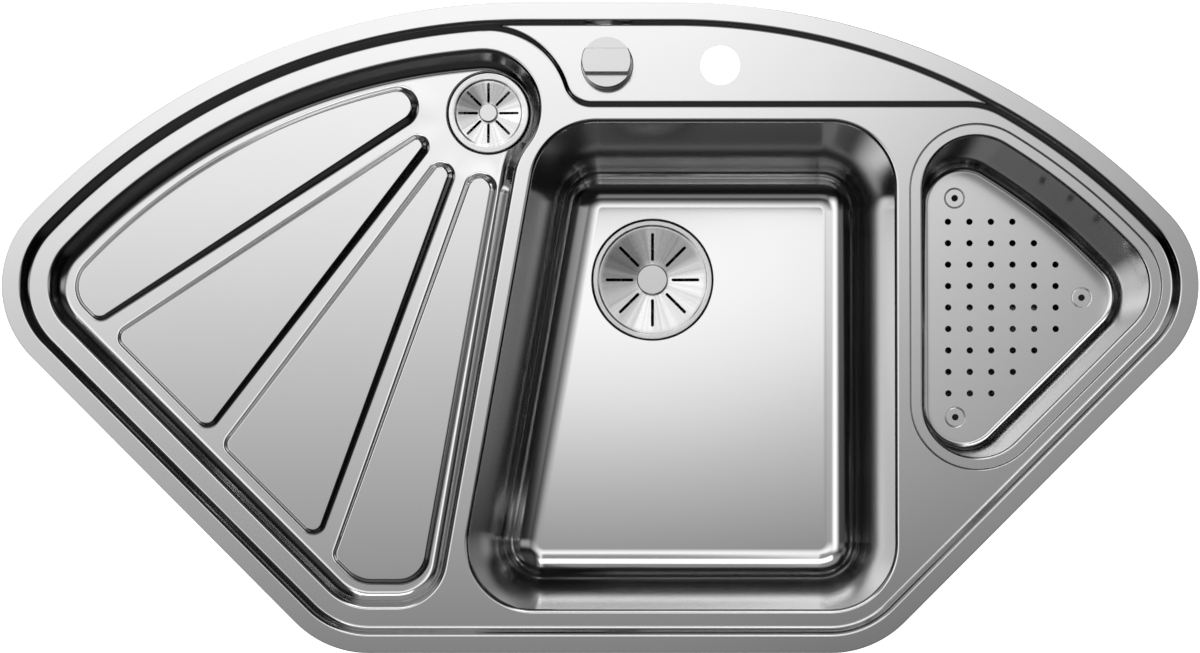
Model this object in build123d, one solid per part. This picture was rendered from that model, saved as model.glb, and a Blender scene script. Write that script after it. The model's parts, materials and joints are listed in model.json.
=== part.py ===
from build123d import *

import math
import os

# Corner kitchen sink for a worktop cut-out. Millimetres, +Z up. The origin is on the plane of the
# worktop, at the middle of the rim. +X is to the right and +Y to the corner at the back.
#
# Every outline is a loop of circles (x, y, radius), taken anticlockwise, joined by their common
# tangents. A negative radius is a hollow bend. Growing every radius by d offsets the whole loop.

# Rim outline. Places and bends in the plan are those of a sink 1056 wide and follow its width.
SINK_WIDTH = 1056.0
PLAN = SINK_WIDTH / 1056.0
SINK_DEPTH = 575.0 * PLAN
BACK_FLAT = 131.0 * PLAN
BACK_ARC_RADIUS = 602.0 * PLAN
END_RADIUS = 90.0 * PLAN
FRONT_CORNER_RADIUS = 92.0 * PLAN

# Sheet and levels
SHEET = 1.0
SEAL_HEIGHT = 2.0
SEAL_WIDTH = 11.0
SEAL_INSET = 1.6
LIP_GAP = 0.4
RIM_FLAT = 16.5
STEP_RUN = 5.5
LEDGE_DROP = 3.5
FIELD_DROP = 7.0

# Drainer tray and its pads
DRAINER_X = -100.5 * PLAN
TRAY_INSET = 40.0 * PLAN
TRAY_DEPTH = 14.0
TRAY_FALL = 0.45
TRAY_SLOPE = 0.84
TRAY_FLOOR_ROUND = 9.0
TRAY_SEAM = 2.0
TRAY_CORNER_RADIUS = 44.0 * PLAN
TRAY_NECK_X = -104.5 * PLAN
TRAY_NECK_RADIUS = 51.5 * PLAN
TRAY_NECK_BEND = 60.0 * PLAN
TRAY_SIDE_X = -99.5 * PLAN
DIVIDER_LEAN = 0.175
PAD_DEPTH = 8.5
PAD_INSET = 24.0 * PLAN
PAD_SIDE_INSET = 20.0 * PLAN
PAD_SLOPE = 1.0
PAD_CORNER_RADIUS = 8.0 * PLAN
PAD_FRONT_RADIUS = 24.0 * PLAN
PAD_TIP_RADII = (13.0 * PLAN, 5.0 * PLAN, 6.7 * PLAN, 9.5 * PLAN)
GROOVE_WIDTH = 21.0 * PLAN
GROOVE_ANGLES = (33.4, 52.8, 70.2)
GROOVE_OFFSETS = (25.5 * PLAN, 17.0 * PLAN, 3.6 * PLAN)

# Tap ledge
LEDGE_FRONT_Y = 196.3 * PLAN
LEDGE_DRAINER_RADIUS = 72.0 * PLAN
LEDGE_INNER_BEND = 25.0 * PLAN
LEDGE_END_RADIUS = 60.0 * PLAN
LEDGE_LINE_Y = 232.0 * PLAN
PANEL_INSET = 21.0 * PLAN
PANEL_BEND = 21.0 * PLAN
PANEL_CORNER_RADIUS = 12.0 * PLAN
PANEL_RIGHT = 250.0 * PLAN
TAP_X = 106.0 * PLAN
TAP_HOLE_DIAMETER = 35.0
TAP_TO_KNOB = 100.0 * PLAN

# Main bowl
BOWL_BACK = 182.0 * PLAN
BOWL_FRONT = -249.5 * PLAN
BOWL_RIGHT = 260.8 * PLAN
BOWL_LEFT = -84.0 * PLAN
BOWL_CORNER_RADIUS = 58.0 * PLAN
BOWL_DEPTH = 190.0
BOWL_DRAFT = 7.0
BOWL_FLOOR_ROUND = 32.0
MOUTH_ROUND = 4.0
MOUTH_BAND = 7.0
COLLAR_DEPTH = 12.0
MAIN_WASTE_X = 44.0 * PLAN
MAIN_WASTE_Y = 59.0 * PLAN

# Side bowl and colander
SIDE_INSET = 32.0 * PLAN
SIDE_LEFT = 274.8 * PLAN
SIDE_CORNER_RADIUS = 58.5 * PLAN
SIDE_DEPTH = 145.0
SIDE_DRAFT = 3.0
SIDE_FLOOR_ROUND = 20.0
SIDE_SEAT_WIDTH = 7.5
SIDE_SEAT_DROP = 1.2
SIDE_SEAT_RUN = 1.0
SIDE_MOUTH_ROUND = 2.0
SIDE_MOUTH_BAND = 5.0
SIDE_WASTE_X = 372.0 * PLAN
SIDE_WASTE_Y = 27.0 * PLAN
COLANDER_FLANGE_GAP = 0.7
COLANDER_WALL_INSET = 10.5
COLANDER_DEPTH = 121.0
COLANDER_DRAFT = 4.5
COLANDER_FLOOR_ROUND = 8.0
COLANDER_MOUTH_ROUND = 2.5
HOLE_DIAMETER = 6.0
HOLE_PITCH = 20.0
HOLE_COLUMNS = 6
HOLE_ROWS = 9
HOLE_FIRST_X = 320.0 * PLAN
HOLE_MIDDLE_Y = 26.7 * PLAN
HOLE_MARGIN = 40.0 * PLAN
FOOT_DIAMETER = 20.0
FOOT_HEIGHT = 8.0
FOOT_STUD_DIAMETER = 6.0
FOOT_STUD_RISE = 0.8
FOOT_OFFSETS = ((-7.0, 7.4), (-7.0, -8.2), (6.1, -0.9))

# Wastes: seat in the floor, flange, strainer
SEAT_GAP = 0.8
FLANGE_SHEET = 0.8
GASKET_HEIGHT = 3.0
GASKET_GAP = 1.0
MAIN_FLANGE_DIAMETER = 114.0
MAIN_SEAT_WIDTH = 11.0
MAIN_CUP_DEPTH = 38.0
MAIN_CUP_LEDGE = 18.0
MAIN_SEAT_DEPTH = 3.4
DRAINER_FLANGE_DIAMETER = 71.2
DRAINER_SEAT_WIDTH = 11.6
CUP_CLEARANCE = 1.0
DRAINER_CUP_DEPTH = 22.0
DRAINER_SEAT_DEPTH = 3.0
DRAINER_POCKET_SLOPE = 0.5
DRAINER_POCKET_RISE = 12.0
DRAINER_CUP_HOLE_DIAMETER = 8.0
DRAINER_CUP_HOLE_INSET = 9.0
DRAINER_CUP_HOLE_COUNT = 6
SIDE_GRID_DIAMETER = 70.0
SIDE_GRID_SHEET = 1.2
SIDE_GRID_SEAT_DEPTH = 2.5
SIDE_GRID_SEAT_WIDTH = 5.0
GRID_HOLE_DIAMETER = 8.0
GRID_RING_DIAMETERS = (28.0, 50.0)
GRID_RING_COUNTS = (6, 12)

# Lift-out strainers
STRAINER_SHEET = 1.0
STRAINER_RIM_HEIGHT = 2.6
STRAINER_RIM_ROUND = 1.0
STRAINER_DISH_DROP = 0.7
STRAINER_SLOPE = 0.045
STRAINER_SLOT_COUNT = 8
SKIRT_SHEET = 1.2
HUB_ROUND = 1.2
MAIN_RIM_WIDTH = 5.0
MAIN_SLOT_WIDTH = 2.9
MAIN_SLOT_START = 18.3
MAIN_SLOT_INSET = 12.0
MAIN_HUB_DIAMETER = 29.4
MAIN_HUB_HEIGHT = 3.6
MAIN_HUB_SEAT = 1.3
MAIN_SKIRT_DEPTH = 20.0
DRAINER_RIM_WIDTH = 6.1
DRAINER_SLOT_WIDTH = 2.4
DRAINER_SLOT_START = 9.2
DRAINER_SLOT_INSET = 8.6
DRAINER_HUB_DIAMETER = 16.8
DRAINER_HUB_HEIGHT = 3.0
DRAINER_HUB_SEAT = 0.4
DRAINER_SKIRT_GAP = 3.0
DRAINER_SKIRT_DEPTH = 10.0

# Plug and lift pin
PLUG_OVERLAP = 3.0
PLUG_THICKNESS = 4.0
PLUG_SEAL_OVERLAP = 4.0
PLUG_SEAL_WIDTH = 7.0
PLUG_SEAL_HEIGHT = 3.0
PLUG_BOSS_DIAMETER = 16.0
PLUG_BOSS_DEPTH = 7.5
STEM_DIAMETER = 10.0
PIN_DIAMETER = 8.0
PIN_CLEARANCE = 0.05
PIN_FOOT_DIAMETER = 18.0
PIN_FOOT_HEIGHT = 3.0
GUIDE_DIAMETER = 16.0
GUIDE_HEIGHT = 32.0
LIFT_HOUSING_DIAMETER = 32.0
LIFT_HOUSING_HEIGHT = 26.0
LIFT_HOUSING_WALL = 4.0

# Waste bodies and their screws
BODY_WALL = 3.0
BODY_FLANGE_HEIGHT = 3.0
MAIN_BODY_GAP = 1.5
MAIN_BODY_DEPTH = 86.0
MAIN_PORT_LENGTH = 30.5
DRAINER_BODY_GAP = 2.0
DRAINER_BODY_LENGTH = 75.0
SIDE_BODY_MARGIN = 1.0
SIDE_BODY_LENGTH = 47.5
TAPER_HEIGHT = 8.0
TAPER_FOOT = 4.0
RIB_WIDTH = 3.0
RIB_HEIGHT = 10.0
RIB_COUNT = 3
BOSS_DIAMETER = 12.0
BOSS_HEIGHT = 12.0
WASTE_SCREW_DIAMETER = 6.0
WASTE_SCREW_HEAD_DIAMETER = 11.0
WASTE_SCREW_HEAD_HEIGHT = 3.0
FLANGE_SCREW_DIAMETER = 4.0
FLANGE_SCREW_HEAD_DIAMETER = 7.0
FLANGE_SCREW_HEAD_HEIGHT = 2.5
FLANGE_SCREW_LENGTH = 14.0
FLANGE_SCREW_GAP = 0.3
FLANGE_BOSS_DIAMETER = 10.0
FLANGE_SCREW_COUNT = 3

# Pipework
PIPE_DIAMETER = 40.0
PIPE_WALL = 2.0
PIPE_BEND = 42.0
PIPE_RISE = 23.4
PIPE_GAP = 22.0
SOCKET_WALL = 3.0
SOCKET_DEPTH = 22.0
JUNCTION_REACH = 44.0
SIDE_PIPE_RUN = 56.0
NUT_DIAMETER = 58.0
NUT_GRIP = 12.0
NUT_END = 3.0
NUT_CLEARANCE = 0.3
CONE_SEAL_HEIGHT = 5.0
OUTLET_LENGTH = 30.0
NECK_CLEARANCE = 0.3

# Control knob
KNOB_BASE_DIAMETER = 46.3
KNOB_BASE_HEIGHT = 5.0
KNOB_DIAMETER = 43.8
KNOB_HEIGHT = 25.0
KNOB_GAP = 0.5
KNOB_GRIP_WIDTH = 21.8
KNOB_GRIP_HEIGHT = 8.0
KNOB_EDGE_ROUND = 1.0
SHAFT_DIAMETER = 12.0
SHAFT_CLEARANCE = 0.05
SHAFT_SOCKET = 12.0
BARREL_DIAMETER = 28.0
BARREL_BORE = 18.0
BARREL_LENGTH = 34.0
BARREL_HOLE_CLEARANCE = 0.3
KNOB_NUT_ACROSS = 40.0
KNOB_NUT_HEIGHT = 6.0
KNOB_WASHER_DIAMETER = 42.0
KNOB_WASHER_HEIGHT = 2.5
DRUM_DIAMETER = 24.0
DRUM_HEIGHT = 10.0
CASE_DIAMETER = 46.0
CASE_HEIGHT = 19.0
CASE_WALL = 3.0
GLAND_DIAMETER = 12.0
GLAND_BORE = 5.0
GLAND_LENGTH = 18.0

# Fixings under the rim
WORKTOP_THICKNESS = 38.0
TAB_INSET = 26.0
TAB_WIDTH = 20.0
TAB_SHEET = 1.5
TAB_SHELF_WIDTH = 10.0
TAB_SHELF_DEPTH = 16.5
CLAMP_WIDTH = 14.0
CLAMP_SHEET = 4.0
CLAMP_TIP_INSET = 6.0
CLAMP_TIP_WIDTH = 4.0
CLAMP_TIP_HEIGHT = 2.0
CLAMP_SCREW_DIAMETER = 5.0
CLAMP_SCREW_CLEARANCE = 0.3
CLAMP_SCREW_END = 3.0
CLAMP_HEAD_DIAMETER = 9.0
CLAMP_HEAD_HEIGHT = 4.0
FRONT_CLAMP_X = 110.0 * PLAN
SIDE_CLAMP_SPACING = 170.0 * PLAN
BACK_CLAMP_X = 54.0 * PLAN
BACK_LEFT_CLAMP_ANGLES = (110.0, 127.0)
BACK_RIGHT_CLAMP_ANGLES = (53.0,)
LEDGE_CLAMP_ANGLE = 70.0

# Sound pads
SOUND_PAD_THICKNESS = 3.0
MAIN_PAD_LENGTH = 190.0 * PLAN
MAIN_PAD_WIDTH = 120.0 * PLAN
MAIN_PAD_X = 90.0 * PLAN
MAIN_PAD_Y = -108.0 * PLAN
SIDE_PAD_LENGTH = 60.0 * PLAN
SIDE_PAD_WIDTH = 40.0 * PLAN
SIDE_PAD_X = 342.0 * PLAN
SIDE_PAD_Y = -36.0 * PLAN

# Sizes that follow
MAIN_HOLE_DIAMETER = MAIN_FLANGE_DIAMETER - 2 * MAIN_SEAT_WIDTH
MAIN_CUP_DIAMETER = MAIN_HOLE_DIAMETER - 2 * CUP_CLEARANCE
MAIN_PASSAGE_DIAMETER = MAIN_CUP_DIAMETER - 2 * MAIN_CUP_LEDGE
MAIN_SLOT_END = MAIN_FLANGE_DIAMETER / 2 - MAIN_SLOT_INSET
MAIN_BODY_DIAMETER = MAIN_CUP_DIAMETER + 2 * (MAIN_BODY_GAP + BODY_WALL)
MAIN_PORT_REACH = MAIN_BODY_DIAMETER / 2 + MAIN_PORT_LENGTH
FLANGE_SCREW_CIRCLE = MAIN_CUP_DIAMETER - MAIN_CUP_LEDGE
PLUG_DIAMETER = MAIN_PASSAGE_DIAMETER + 2 * PLUG_OVERLAP
PLUG_SEAL_DIAMETER = MAIN_PASSAGE_DIAMETER + 2 * PLUG_SEAL_OVERLAP
MAIN_SKIRT_DIAMETER = PLUG_SEAL_DIAMETER
DRAINER_HOLE_DIAMETER = DRAINER_FLANGE_DIAMETER - 2 * DRAINER_SEAT_WIDTH
DRAINER_CUP_DIAMETER = DRAINER_HOLE_DIAMETER - 2 * CUP_CLEARANCE
DRAINER_CUP_HOLE_CIRCLE = DRAINER_CUP_DIAMETER - 2 * DRAINER_CUP_HOLE_INSET
DRAINER_SLOT_END = DRAINER_FLANGE_DIAMETER / 2 - DRAINER_SLOT_INSET
DRAINER_SKIRT_DIAMETER = DRAINER_CUP_DIAMETER - 2 * DRAINER_SKIRT_GAP
DRAINER_BODY_DIAMETER = DRAINER_CUP_DIAMETER + 2 * (DRAINER_BODY_GAP + BODY_WALL)
JUNCTION_X = MAIN_WASTE_X + MAIN_PORT_REACH + PIPE_GAP + JUNCTION_REACH
SIDE_ELBOW_X = JUNCTION_X + JUNCTION_REACH + SIDE_PIPE_RUN
SIDE_HOLE_DIAMETER = SIDE_GRID_DIAMETER - 2 * SIDE_GRID_SEAT_WIDTH
SIDE_BODY_DIAMETER = SIDE_HOLE_DIAMETER + 2 * SIDE_BODY_MARGIN

# Levels that follow
RIM_TOP = SEAL_HEIGHT + SHEET
LEDGE_Z = RIM_TOP - LEDGE_DROP
FIELD_Z = RIM_TOP - FIELD_DROP
STEP_SLOPE = STEP_RUN / FIELD_DROP
FOOT_INSET = RIM_FLAT + STEP_RUN
LEDGE_INSET = RIM_FLAT + LEDGE_DROP * STEP_SLOPE
PAD_Z = FIELD_Z - PAD_DEPTH
TRAY_FLOOR_Z = FIELD_Z - TRAY_DEPTH
COLLAR_Z = FIELD_Z - COLLAR_DEPTH
BOWL_FLOOR_Z = RIM_TOP - BOWL_DEPTH
SIDE_FLOOR_Z = RIM_TOP - SIDE_DEPTH
SIDE_SEAT_Z = FIELD_Z - SIDE_SEAT_DROP
COLANDER_TOP_Z = SIDE_SEAT_Z + SHEET
COLANDER_FLOOR_Z = RIM_TOP - COLANDER_DEPTH
KNOB_X = TAP_X - TAP_TO_KNOB
MAIN_SEAT_Z = BOWL_FLOOR_Z - MAIN_SEAT_DEPTH
MAIN_LID_Z = MAIN_SEAT_Z + FLANGE_SHEET
MAIN_CUP_Z = MAIN_SEAT_Z - MAIN_CUP_DEPTH
MAIN_BODY_TOP = MAIN_SEAT_Z - SHEET - GASKET_HEIGHT
MAIN_BODY_FLOOR = MAIN_SEAT_Z - MAIN_BODY_DEPTH
DRAINER_SEAT_Z = TRAY_FLOOR_Z - DRAINER_SEAT_DEPTH
DRAINER_LID_Z = DRAINER_SEAT_Z + FLANGE_SHEET
DRAINER_CUP_Z = DRAINER_SEAT_Z - DRAINER_CUP_DEPTH
DRAINER_BODY_TOP = DRAINER_SEAT_Z - SHEET - GASKET_HEIGHT
GRID_Z = SIDE_FLOOR_Z - SIDE_GRID_SEAT_DEPTH
SIDE_BODY_TOP = GRID_Z - SHEET - GASKET_HEIGHT
PLUG_Z = MAIN_CUP_Z + PLUG_SEAL_HEIGHT
PLUG_BOSS_Z = PLUG_Z - PLUG_BOSS_DEPTH
PIPE_LEVEL = MAIN_BODY_FLOOR + PIPE_RISE
DRAINER_PORT_LEVEL = DRAINER_BODY_TOP - DRAINER_BODY_LENGTH
SIDE_PORT_LEVEL = SIDE_BODY_TOP - SIDE_BODY_LENGTH
LIFT_HOUSING_TOP = MAIN_BODY_FLOOR - BODY_WALL
LIFT_HOUSING_BOTTOM = LIFT_HOUSING_TOP - LIFT_HOUSING_HEIGHT
PIN_FOOT_Z = LIFT_HOUSING_BOTTOM + LIFT_HOUSING_WALL + PIN_FOOT_HEIGHT
CASE_TOP = LEDGE_Z - BARREL_LENGTH
CASE_BOTTOM = CASE_TOP - CASE_HEIGHT
DRUM_Z = (CASE_TOP - CASE_WALL + CASE_BOTTOM - DRUM_HEIGHT) / 2
KNOB_TOP = LEDGE_Z + KNOB_HEIGHT
KNOB_FOOT = LEDGE_Z + KNOB_BASE_HEIGHT + KNOB_GAP
SHELF_Z = FIELD_Z - SHEET - TAB_SHELF_DEPTH
CLAW_TOP = -WORKTOP_THICKNESS - CLAMP_TIP_HEIGHT
CLAW_BOTTOM = CLAW_TOP - CLAMP_SHEET
BLOCK_MARGIN = 60.0
BLOCK_DEPTH = 80.0
BLOCK_BASE = FIELD_Z - BLOCK_DEPTH
OVERCUT = 5.0


# Tangent loops

def shared_normal(first, second):
    """Outward normal of the common tangent from one circle to the next."""
    dx = second[0] - first[0]
    dy = second[1] - first[1]
    span = math.hypot(dx, dy)
    along = max(-1.0, min(1.0, round((first[2] - second[2]) / span, 12)))
    across = math.sqrt(1.0 - along ** 2)
    return ((along * dx + across * dy) / span, (along * dy - across * dx) / span)


def on_circle(circle, angle):
    x, y, radius = circle
    return Vector(x + radius * math.cos(angle), y + radius * math.sin(angle))


def loop_wire(loop, grow=0.0):
    """Closed wire of arcs and lines through a loop of circles."""
    circles = [(x, y, radius + grow) for x, y, radius in loop]
    following = circles[1:] + circles[:1]
    normals = [shared_normal(a, b) for a, b in zip(circles, following)]
    angles = [math.atan2(n[1], n[0]) for n in normals]
    edges = []
    for i, circle in enumerate(circles):
        start = angles[i - 1]
        turn = (angles[i] - start) % (2 * math.pi)
        if circle[2] < 0:
            turn -= 2 * math.pi
        leave = on_circle(circle, angles[i])
        edges.append(Edge.make_three_point_arc(
            on_circle(circle, start), on_circle(circle, start + turn / 2), leave))
        arrive = on_circle(following[i], angles[i])
        if (arrive - leave).length > 1e-5:
            edges.append(Edge.make_line(leave, arrive))
    return Wire(edges)


def loop_face(loop, grow=0.0, z=0.0):
    return Pos(0, 0, z) * Face(loop_wire(loop, grow))


def loft_between(loop, low, high):
    """Solid between two offsets of one loop. low and high are (grow, z)."""
    faces = [Pos(0, 0, z) * loop_wire(loop, grow) for grow, z in (low, high)]
    return Solid.make_loft(faces, ruled=True)


def prism(loop, grow, low_z, high_z):
    return loft_between(loop, (grow, low_z), (grow, high_z))


def edges_at(shape, z, tolerance=0.01):
    """Edges that lie at one height."""
    return shape.edges().filter_by_position(Axis.Z, z - tolerance, z + tolerance)


def mouth_edges(shape, z, tolerance=0.01):
    """Edges round the opening of the flat face at one height."""
    flat = shape.faces().filter_by_position(Axis.Z, z - tolerance, z + tolerance)
    return flat.sort_by(SortBy.AREA)[-1].inner_wires()[0].edges()


# Outlines

def outline_loop():
    """Outer edge of the rim: back arcs, ends, 45 degree sides and a flat front."""
    back_x = BACK_FLAT / 2
    back_y = SINK_DEPTH / 2 - BACK_ARC_RADIUS
    end_x = SINK_WIDTH / 2 - END_RADIUS
    reach = BACK_ARC_RADIUS - END_RADIUS
    end_y = back_y + math.sqrt(reach ** 2 - (end_x - back_x) ** 2)
    front_y = FRONT_CORNER_RADIUS - SINK_DEPTH / 2
    front_x = end_x - end_y + front_y + math.sqrt(2) * (END_RADIUS - FRONT_CORNER_RADIUS)
    return [
        (-back_x, back_y, BACK_ARC_RADIUS),
        (-end_x, end_y, END_RADIUS),
        (-front_x, front_y, FRONT_CORNER_RADIUS),
        (front_x, front_y, FRONT_CORNER_RADIUS),
        (end_x, end_y, END_RADIUS),
        (back_x, back_y, BACK_ARC_RADIUS),
    ]


OUTLINE = outline_loop()
BACK_LEFT, END_LEFT, FRONT_LEFT, FRONT_RIGHT, END_RIGHT, BACK_RIGHT = OUTLINE


def shrunk(circle, inset):
    return (circle[0], circle[1], circle[2] - inset)


def y_inside(circle, radius, x):
    """Upper centre height at x of a circle that touches a larger one from inside."""
    return circle[1] + math.sqrt((circle[2] - radius) ** 2 - (x - circle[0]) ** 2)


def x_inside(circle, radius, y):
    """Right centre place at y of a circle that touches a larger one from inside."""
    return circle[0] + math.sqrt((circle[2] - radius) ** 2 - (y - circle[1]) ** 2)


DRAINER_Y = y_inside(shrunk(BACK_LEFT, FOOT_INSET), LEDGE_DRAINER_RADIUS, DRAINER_X)


def field_loop():
    """Foot of the step round the field: along the rim, the ledge and the drainer waste."""
    left = shrunk(BACK_LEFT, FOOT_INSET)
    right = shrunk(BACK_RIGHT, FOOT_INSET)
    end_y = LEDGE_FRONT_Y - LEDGE_END_RADIUS
    end_x = x_inside(right, LEDGE_END_RADIUS, end_y)
    bend_y = LEDGE_FRONT_Y + LEDGE_INNER_BEND
    span = LEDGE_DRAINER_RADIUS + LEDGE_INNER_BEND
    bend_x = DRAINER_X + math.sqrt(span ** 2 - (bend_y - DRAINER_Y) ** 2)
    rim = [shrunk(circle, FOOT_INSET) for circle in OUTLINE]
    return rim + [
        (end_x, end_y, LEDGE_END_RADIUS),
        (bend_x, bend_y, -LEDGE_INNER_BEND),
        (DRAINER_X, DRAINER_Y, LEDGE_DRAINER_RADIUS),
    ]


def side_line(angle, through):
    """Line as (unit normal, distance), with the normal to the right of the direction."""
    normal = (math.sin(angle), -math.cos(angle))
    return (normal, normal[0] * through[0] + normal[1] * through[1])


def moved_in(line, inset):
    return (line[0], line[1] - inset)


def corner(first, second, radius):
    """Circle of a radius that touches two lines from inside."""
    (a, b), p = first
    (c, d), q = second
    p -= radius
    q -= radius
    det = a * d - b * c
    return ((p * d - b * q) / det, (a * q - p * c) / det, radius)


def tip_under_arc(line, circle, radius):
    """Circle of a radius that touches a line and, further along it, a larger circle."""
    (a, b), distance = line
    gap = distance - radius - a * circle[0] - b * circle[1]
    along = math.sqrt((circle[2] - radius) ** 2 - gap ** 2)
    return (circle[0] + gap * a - along * b, circle[1] + gap * b + along * a, radius)


LEAN_ANGLE = math.atan2(1.0, DIVIDER_LEAN)
TRAY_SIDE = side_line(LEAN_ANGLE, (TRAY_SIDE_X, 0.0))
FRONT_SIDE = side_line(0.0, (0.0, -SINK_DEPTH / 2))
DIAGONAL_SIDE = side_line(-math.pi / 4, (
    END_LEFT[0] - END_LEFT[2] / math.sqrt(2), END_LEFT[1] - END_LEFT[2] / math.sqrt(2)))


def tray_loop():
    """Mouth of the drainer tray."""
    back = shrunk(BACK_LEFT, TRAY_INSET)
    neck = (TRAY_NECK_X, y_inside(back, TRAY_NECK_RADIUS, TRAY_NECK_X), TRAY_NECK_RADIUS)
    (a, b), distance = TRAY_SIDE
    across = distance + TRAY_NECK_BEND - a * neck[0] - b * neck[1]
    along = math.sqrt((TRAY_NECK_RADIUS + TRAY_NECK_BEND) ** 2 - across ** 2)
    bend = (neck[0] + across * a + along * b, neck[1] + across * b - along * a, -TRAY_NECK_BEND)
    return [
        back,
        shrunk(END_LEFT, TRAY_INSET),
        shrunk(FRONT_LEFT, TRAY_INSET),
        corner(moved_in(FRONT_SIDE, TRAY_INSET), TRAY_SIDE, TRAY_CORNER_RADIUS),
        bend,
        neck,
    ]


def groove_sides(angle_degrees, offset):
    """Edges of one groove: the side of the pad above it, then of the pad below it."""
    angle = math.radians(angle_degrees)
    normal = (math.sin(angle), -math.cos(angle))
    middle = normal[0] * DRAINER_X + normal[1] * DRAINER_Y - offset
    above = (normal, middle - GROOVE_WIDTH / 2)
    below = ((-normal[0], -normal[1]), -middle - GROOVE_WIDTH / 2)
    return above, below


def pad_loops():
    """Top edges of the four raised pads of the drainer tray."""
    inset = TRAY_INSET + PAD_INSET
    back = shrunk(BACK_LEFT, inset)
    diagonal = moved_in(DIAGONAL_SIDE, inset)
    grooves = [groove_sides(*groove) for groove in zip(GROOVE_ANGLES, GROOVE_OFFSETS)]
    sides = [below for above, below in grooves]
    rights = [above for above, below in grooves[1:]]
    loops = [[
        back,
        shrunk(END_LEFT, inset),
        corner(diagonal, grooves[0][0], PAD_CORNER_RADIUS),
        tip_under_arc(grooves[0][0], back, PAD_TIP_RADII[0]),
    ]]
    for left, right, tip in zip(sides, rights, PAD_TIP_RADII[1:]):
        loops.append([
            corner(left, diagonal, PAD_CORNER_RADIUS),
            corner(diagonal, right, PAD_CORNER_RADIUS),
            corner(right, left, tip),
        ])
    last_right = moved_in(TRAY_SIDE, PAD_SIDE_INSET)
    loops.append([
        corner(sides[-1], diagonal, PAD_CORNER_RADIUS),
        shrunk(FRONT_LEFT, inset),
        corner(moved_in(FRONT_SIDE, inset), last_right, PAD_FRONT_RADIUS),
        corner(last_right, sides[-1], PAD_TIP_RADII[-1]),
    ])
    return loops


def bowl_loop():
    """Mouth of the main bowl. Its left side leans like the tray's."""
    back = side_line(math.pi, (0.0, BOWL_BACK))
    left = side_line(LEAN_ANGLE + math.pi, (BOWL_LEFT, 0.0))
    front = side_line(0.0, (0.0, BOWL_FRONT))
    right = side_line(math.pi / 2, (BOWL_RIGHT, 0.0))
    sides = [back, left, front, right]
    following = sides[1:] + sides[:1]
    return [corner(a, b, BOWL_CORNER_RADIUS) for a, b in zip(sides, following)]


def side_loop():
    """Edge of the recess round the side bowl, in which the colander's flange lies."""
    back = shrunk(BACK_RIGHT, SIDE_INSET)
    end = shrunk(END_RIGHT, SIDE_INSET)
    x = SIDE_LEFT + SIDE_CORNER_RADIUS
    back_y = y_inside(back, SIDE_CORNER_RADIUS, x)
    front_y = x - end[0] + end[1] + math.sqrt(2) * (SIDE_CORNER_RADIUS - end[2])
    return [
        (x, back_y, SIDE_CORNER_RADIUS),
        (x, front_y, SIDE_CORNER_RADIUS),
        end,
        back,
    ]


def panel_loop():
    """Seam of the tap panel, in the flat of the ledge."""
    bend = FIELD[-2]
    front = bend[1] - PANEL_BEND
    left = bend[0] - PANEL_BEND + PANEL_CORNER_RADIUS
    right = PANEL_RIGHT - PANEL_CORNER_RADIUS
    back = shrunk(BACK_RIGHT, PANEL_INSET)
    return [
        (bend[0], bend[1], PANEL_BEND),
        (right, front + PANEL_CORNER_RADIUS, PANEL_CORNER_RADIUS),
        (right, y_inside(back, PANEL_CORNER_RADIUS, right), PANEL_CORNER_RADIUS),
        back,
        (left, back[1] + back[2] - PANEL_CORNER_RADIUS, PANEL_CORNER_RADIUS),
    ]


FIELD = field_loop()
PANEL = panel_loop()
TRAY = tray_loop()
PADS = pad_loops()
BOWL = bowl_loop()
SIDE = side_loop()
SIDE_MOUTH = [shrunk(circle, SIDE_SEAT_WIDTH) for circle in SIDE]
FOOT_PLACES = [(x + dx, y + dy) for (x, y, _), (dx, dy) in zip(SIDE, FOOT_OFFSETS)]


def ring(outer, inner, low, high):
    """Flat ring or tube on the Z axis, by radii and heights."""
    body = Pos(0, 0, low) * Cylinder(outer, high - low, align=(Align.CENTER, Align.CENTER, Align.MIN))
    if inner:
        hole = Pos(0, 0, low - OVERCUT) * Cylinder(
            inner, high - low + 2 * OVERCUT, align=(Align.CENTER, Align.CENTER, Align.MIN))
        body -= hole
    return body


def disc(radius, low, high):
    return ring(radius, 0, low, high)


def turned(points):
    """Solid of revolution about the Z axis from (radius, height) points."""
    face = make_face(Polyline(*[(r, 0, z) for r, z in points], close=True))
    return revolve(face, Axis.Z)


def cone(low_radius, high_radius, low, high):
    """Solid round taper, by radii and heights."""
    return turned([(0, low), (low_radius, low), (high_radius, high), (0, high)])


# Deck

def tray_floor_cut():
    """Solid below the sloping tray floor, which falls to the drainer waste."""
    size = 2 * SINK_WIDTH
    below = Pos(0, 0, -size / 2) * Box(size, size, size)
    return Pos(DRAINER_X, DRAINER_Y, TRAY_FLOOR_Z) * Rot(0, 0, 45) * Rot(0, TRAY_FALL, 0) * below


def tray_space():
    """Space of the drainer tray above its floor."""
    low = TRAY_FLOOR_Z - OVERCUT
    space = loft_between(
        TRAY, ((low - FIELD_Z) * TRAY_SLOPE, low), (OVERCUT * TRAY_SLOPE, FIELD_Z + OVERCUT))
    space -= tray_floor_cut()
    floor = space.faces().sort_by(Axis.Z)[0]
    return fillet(floor.edges(), TRAY_FLOOR_ROUND)


def pad_solid(loop):
    """One raised pad, tapered from its flat top down into the tray floor."""
    low = TRAY_FLOOR_Z - OVERCUT
    return loft_between(loop, ((PAD_Z - low) * PAD_SLOPE, low), (0.0, PAD_Z))


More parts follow.
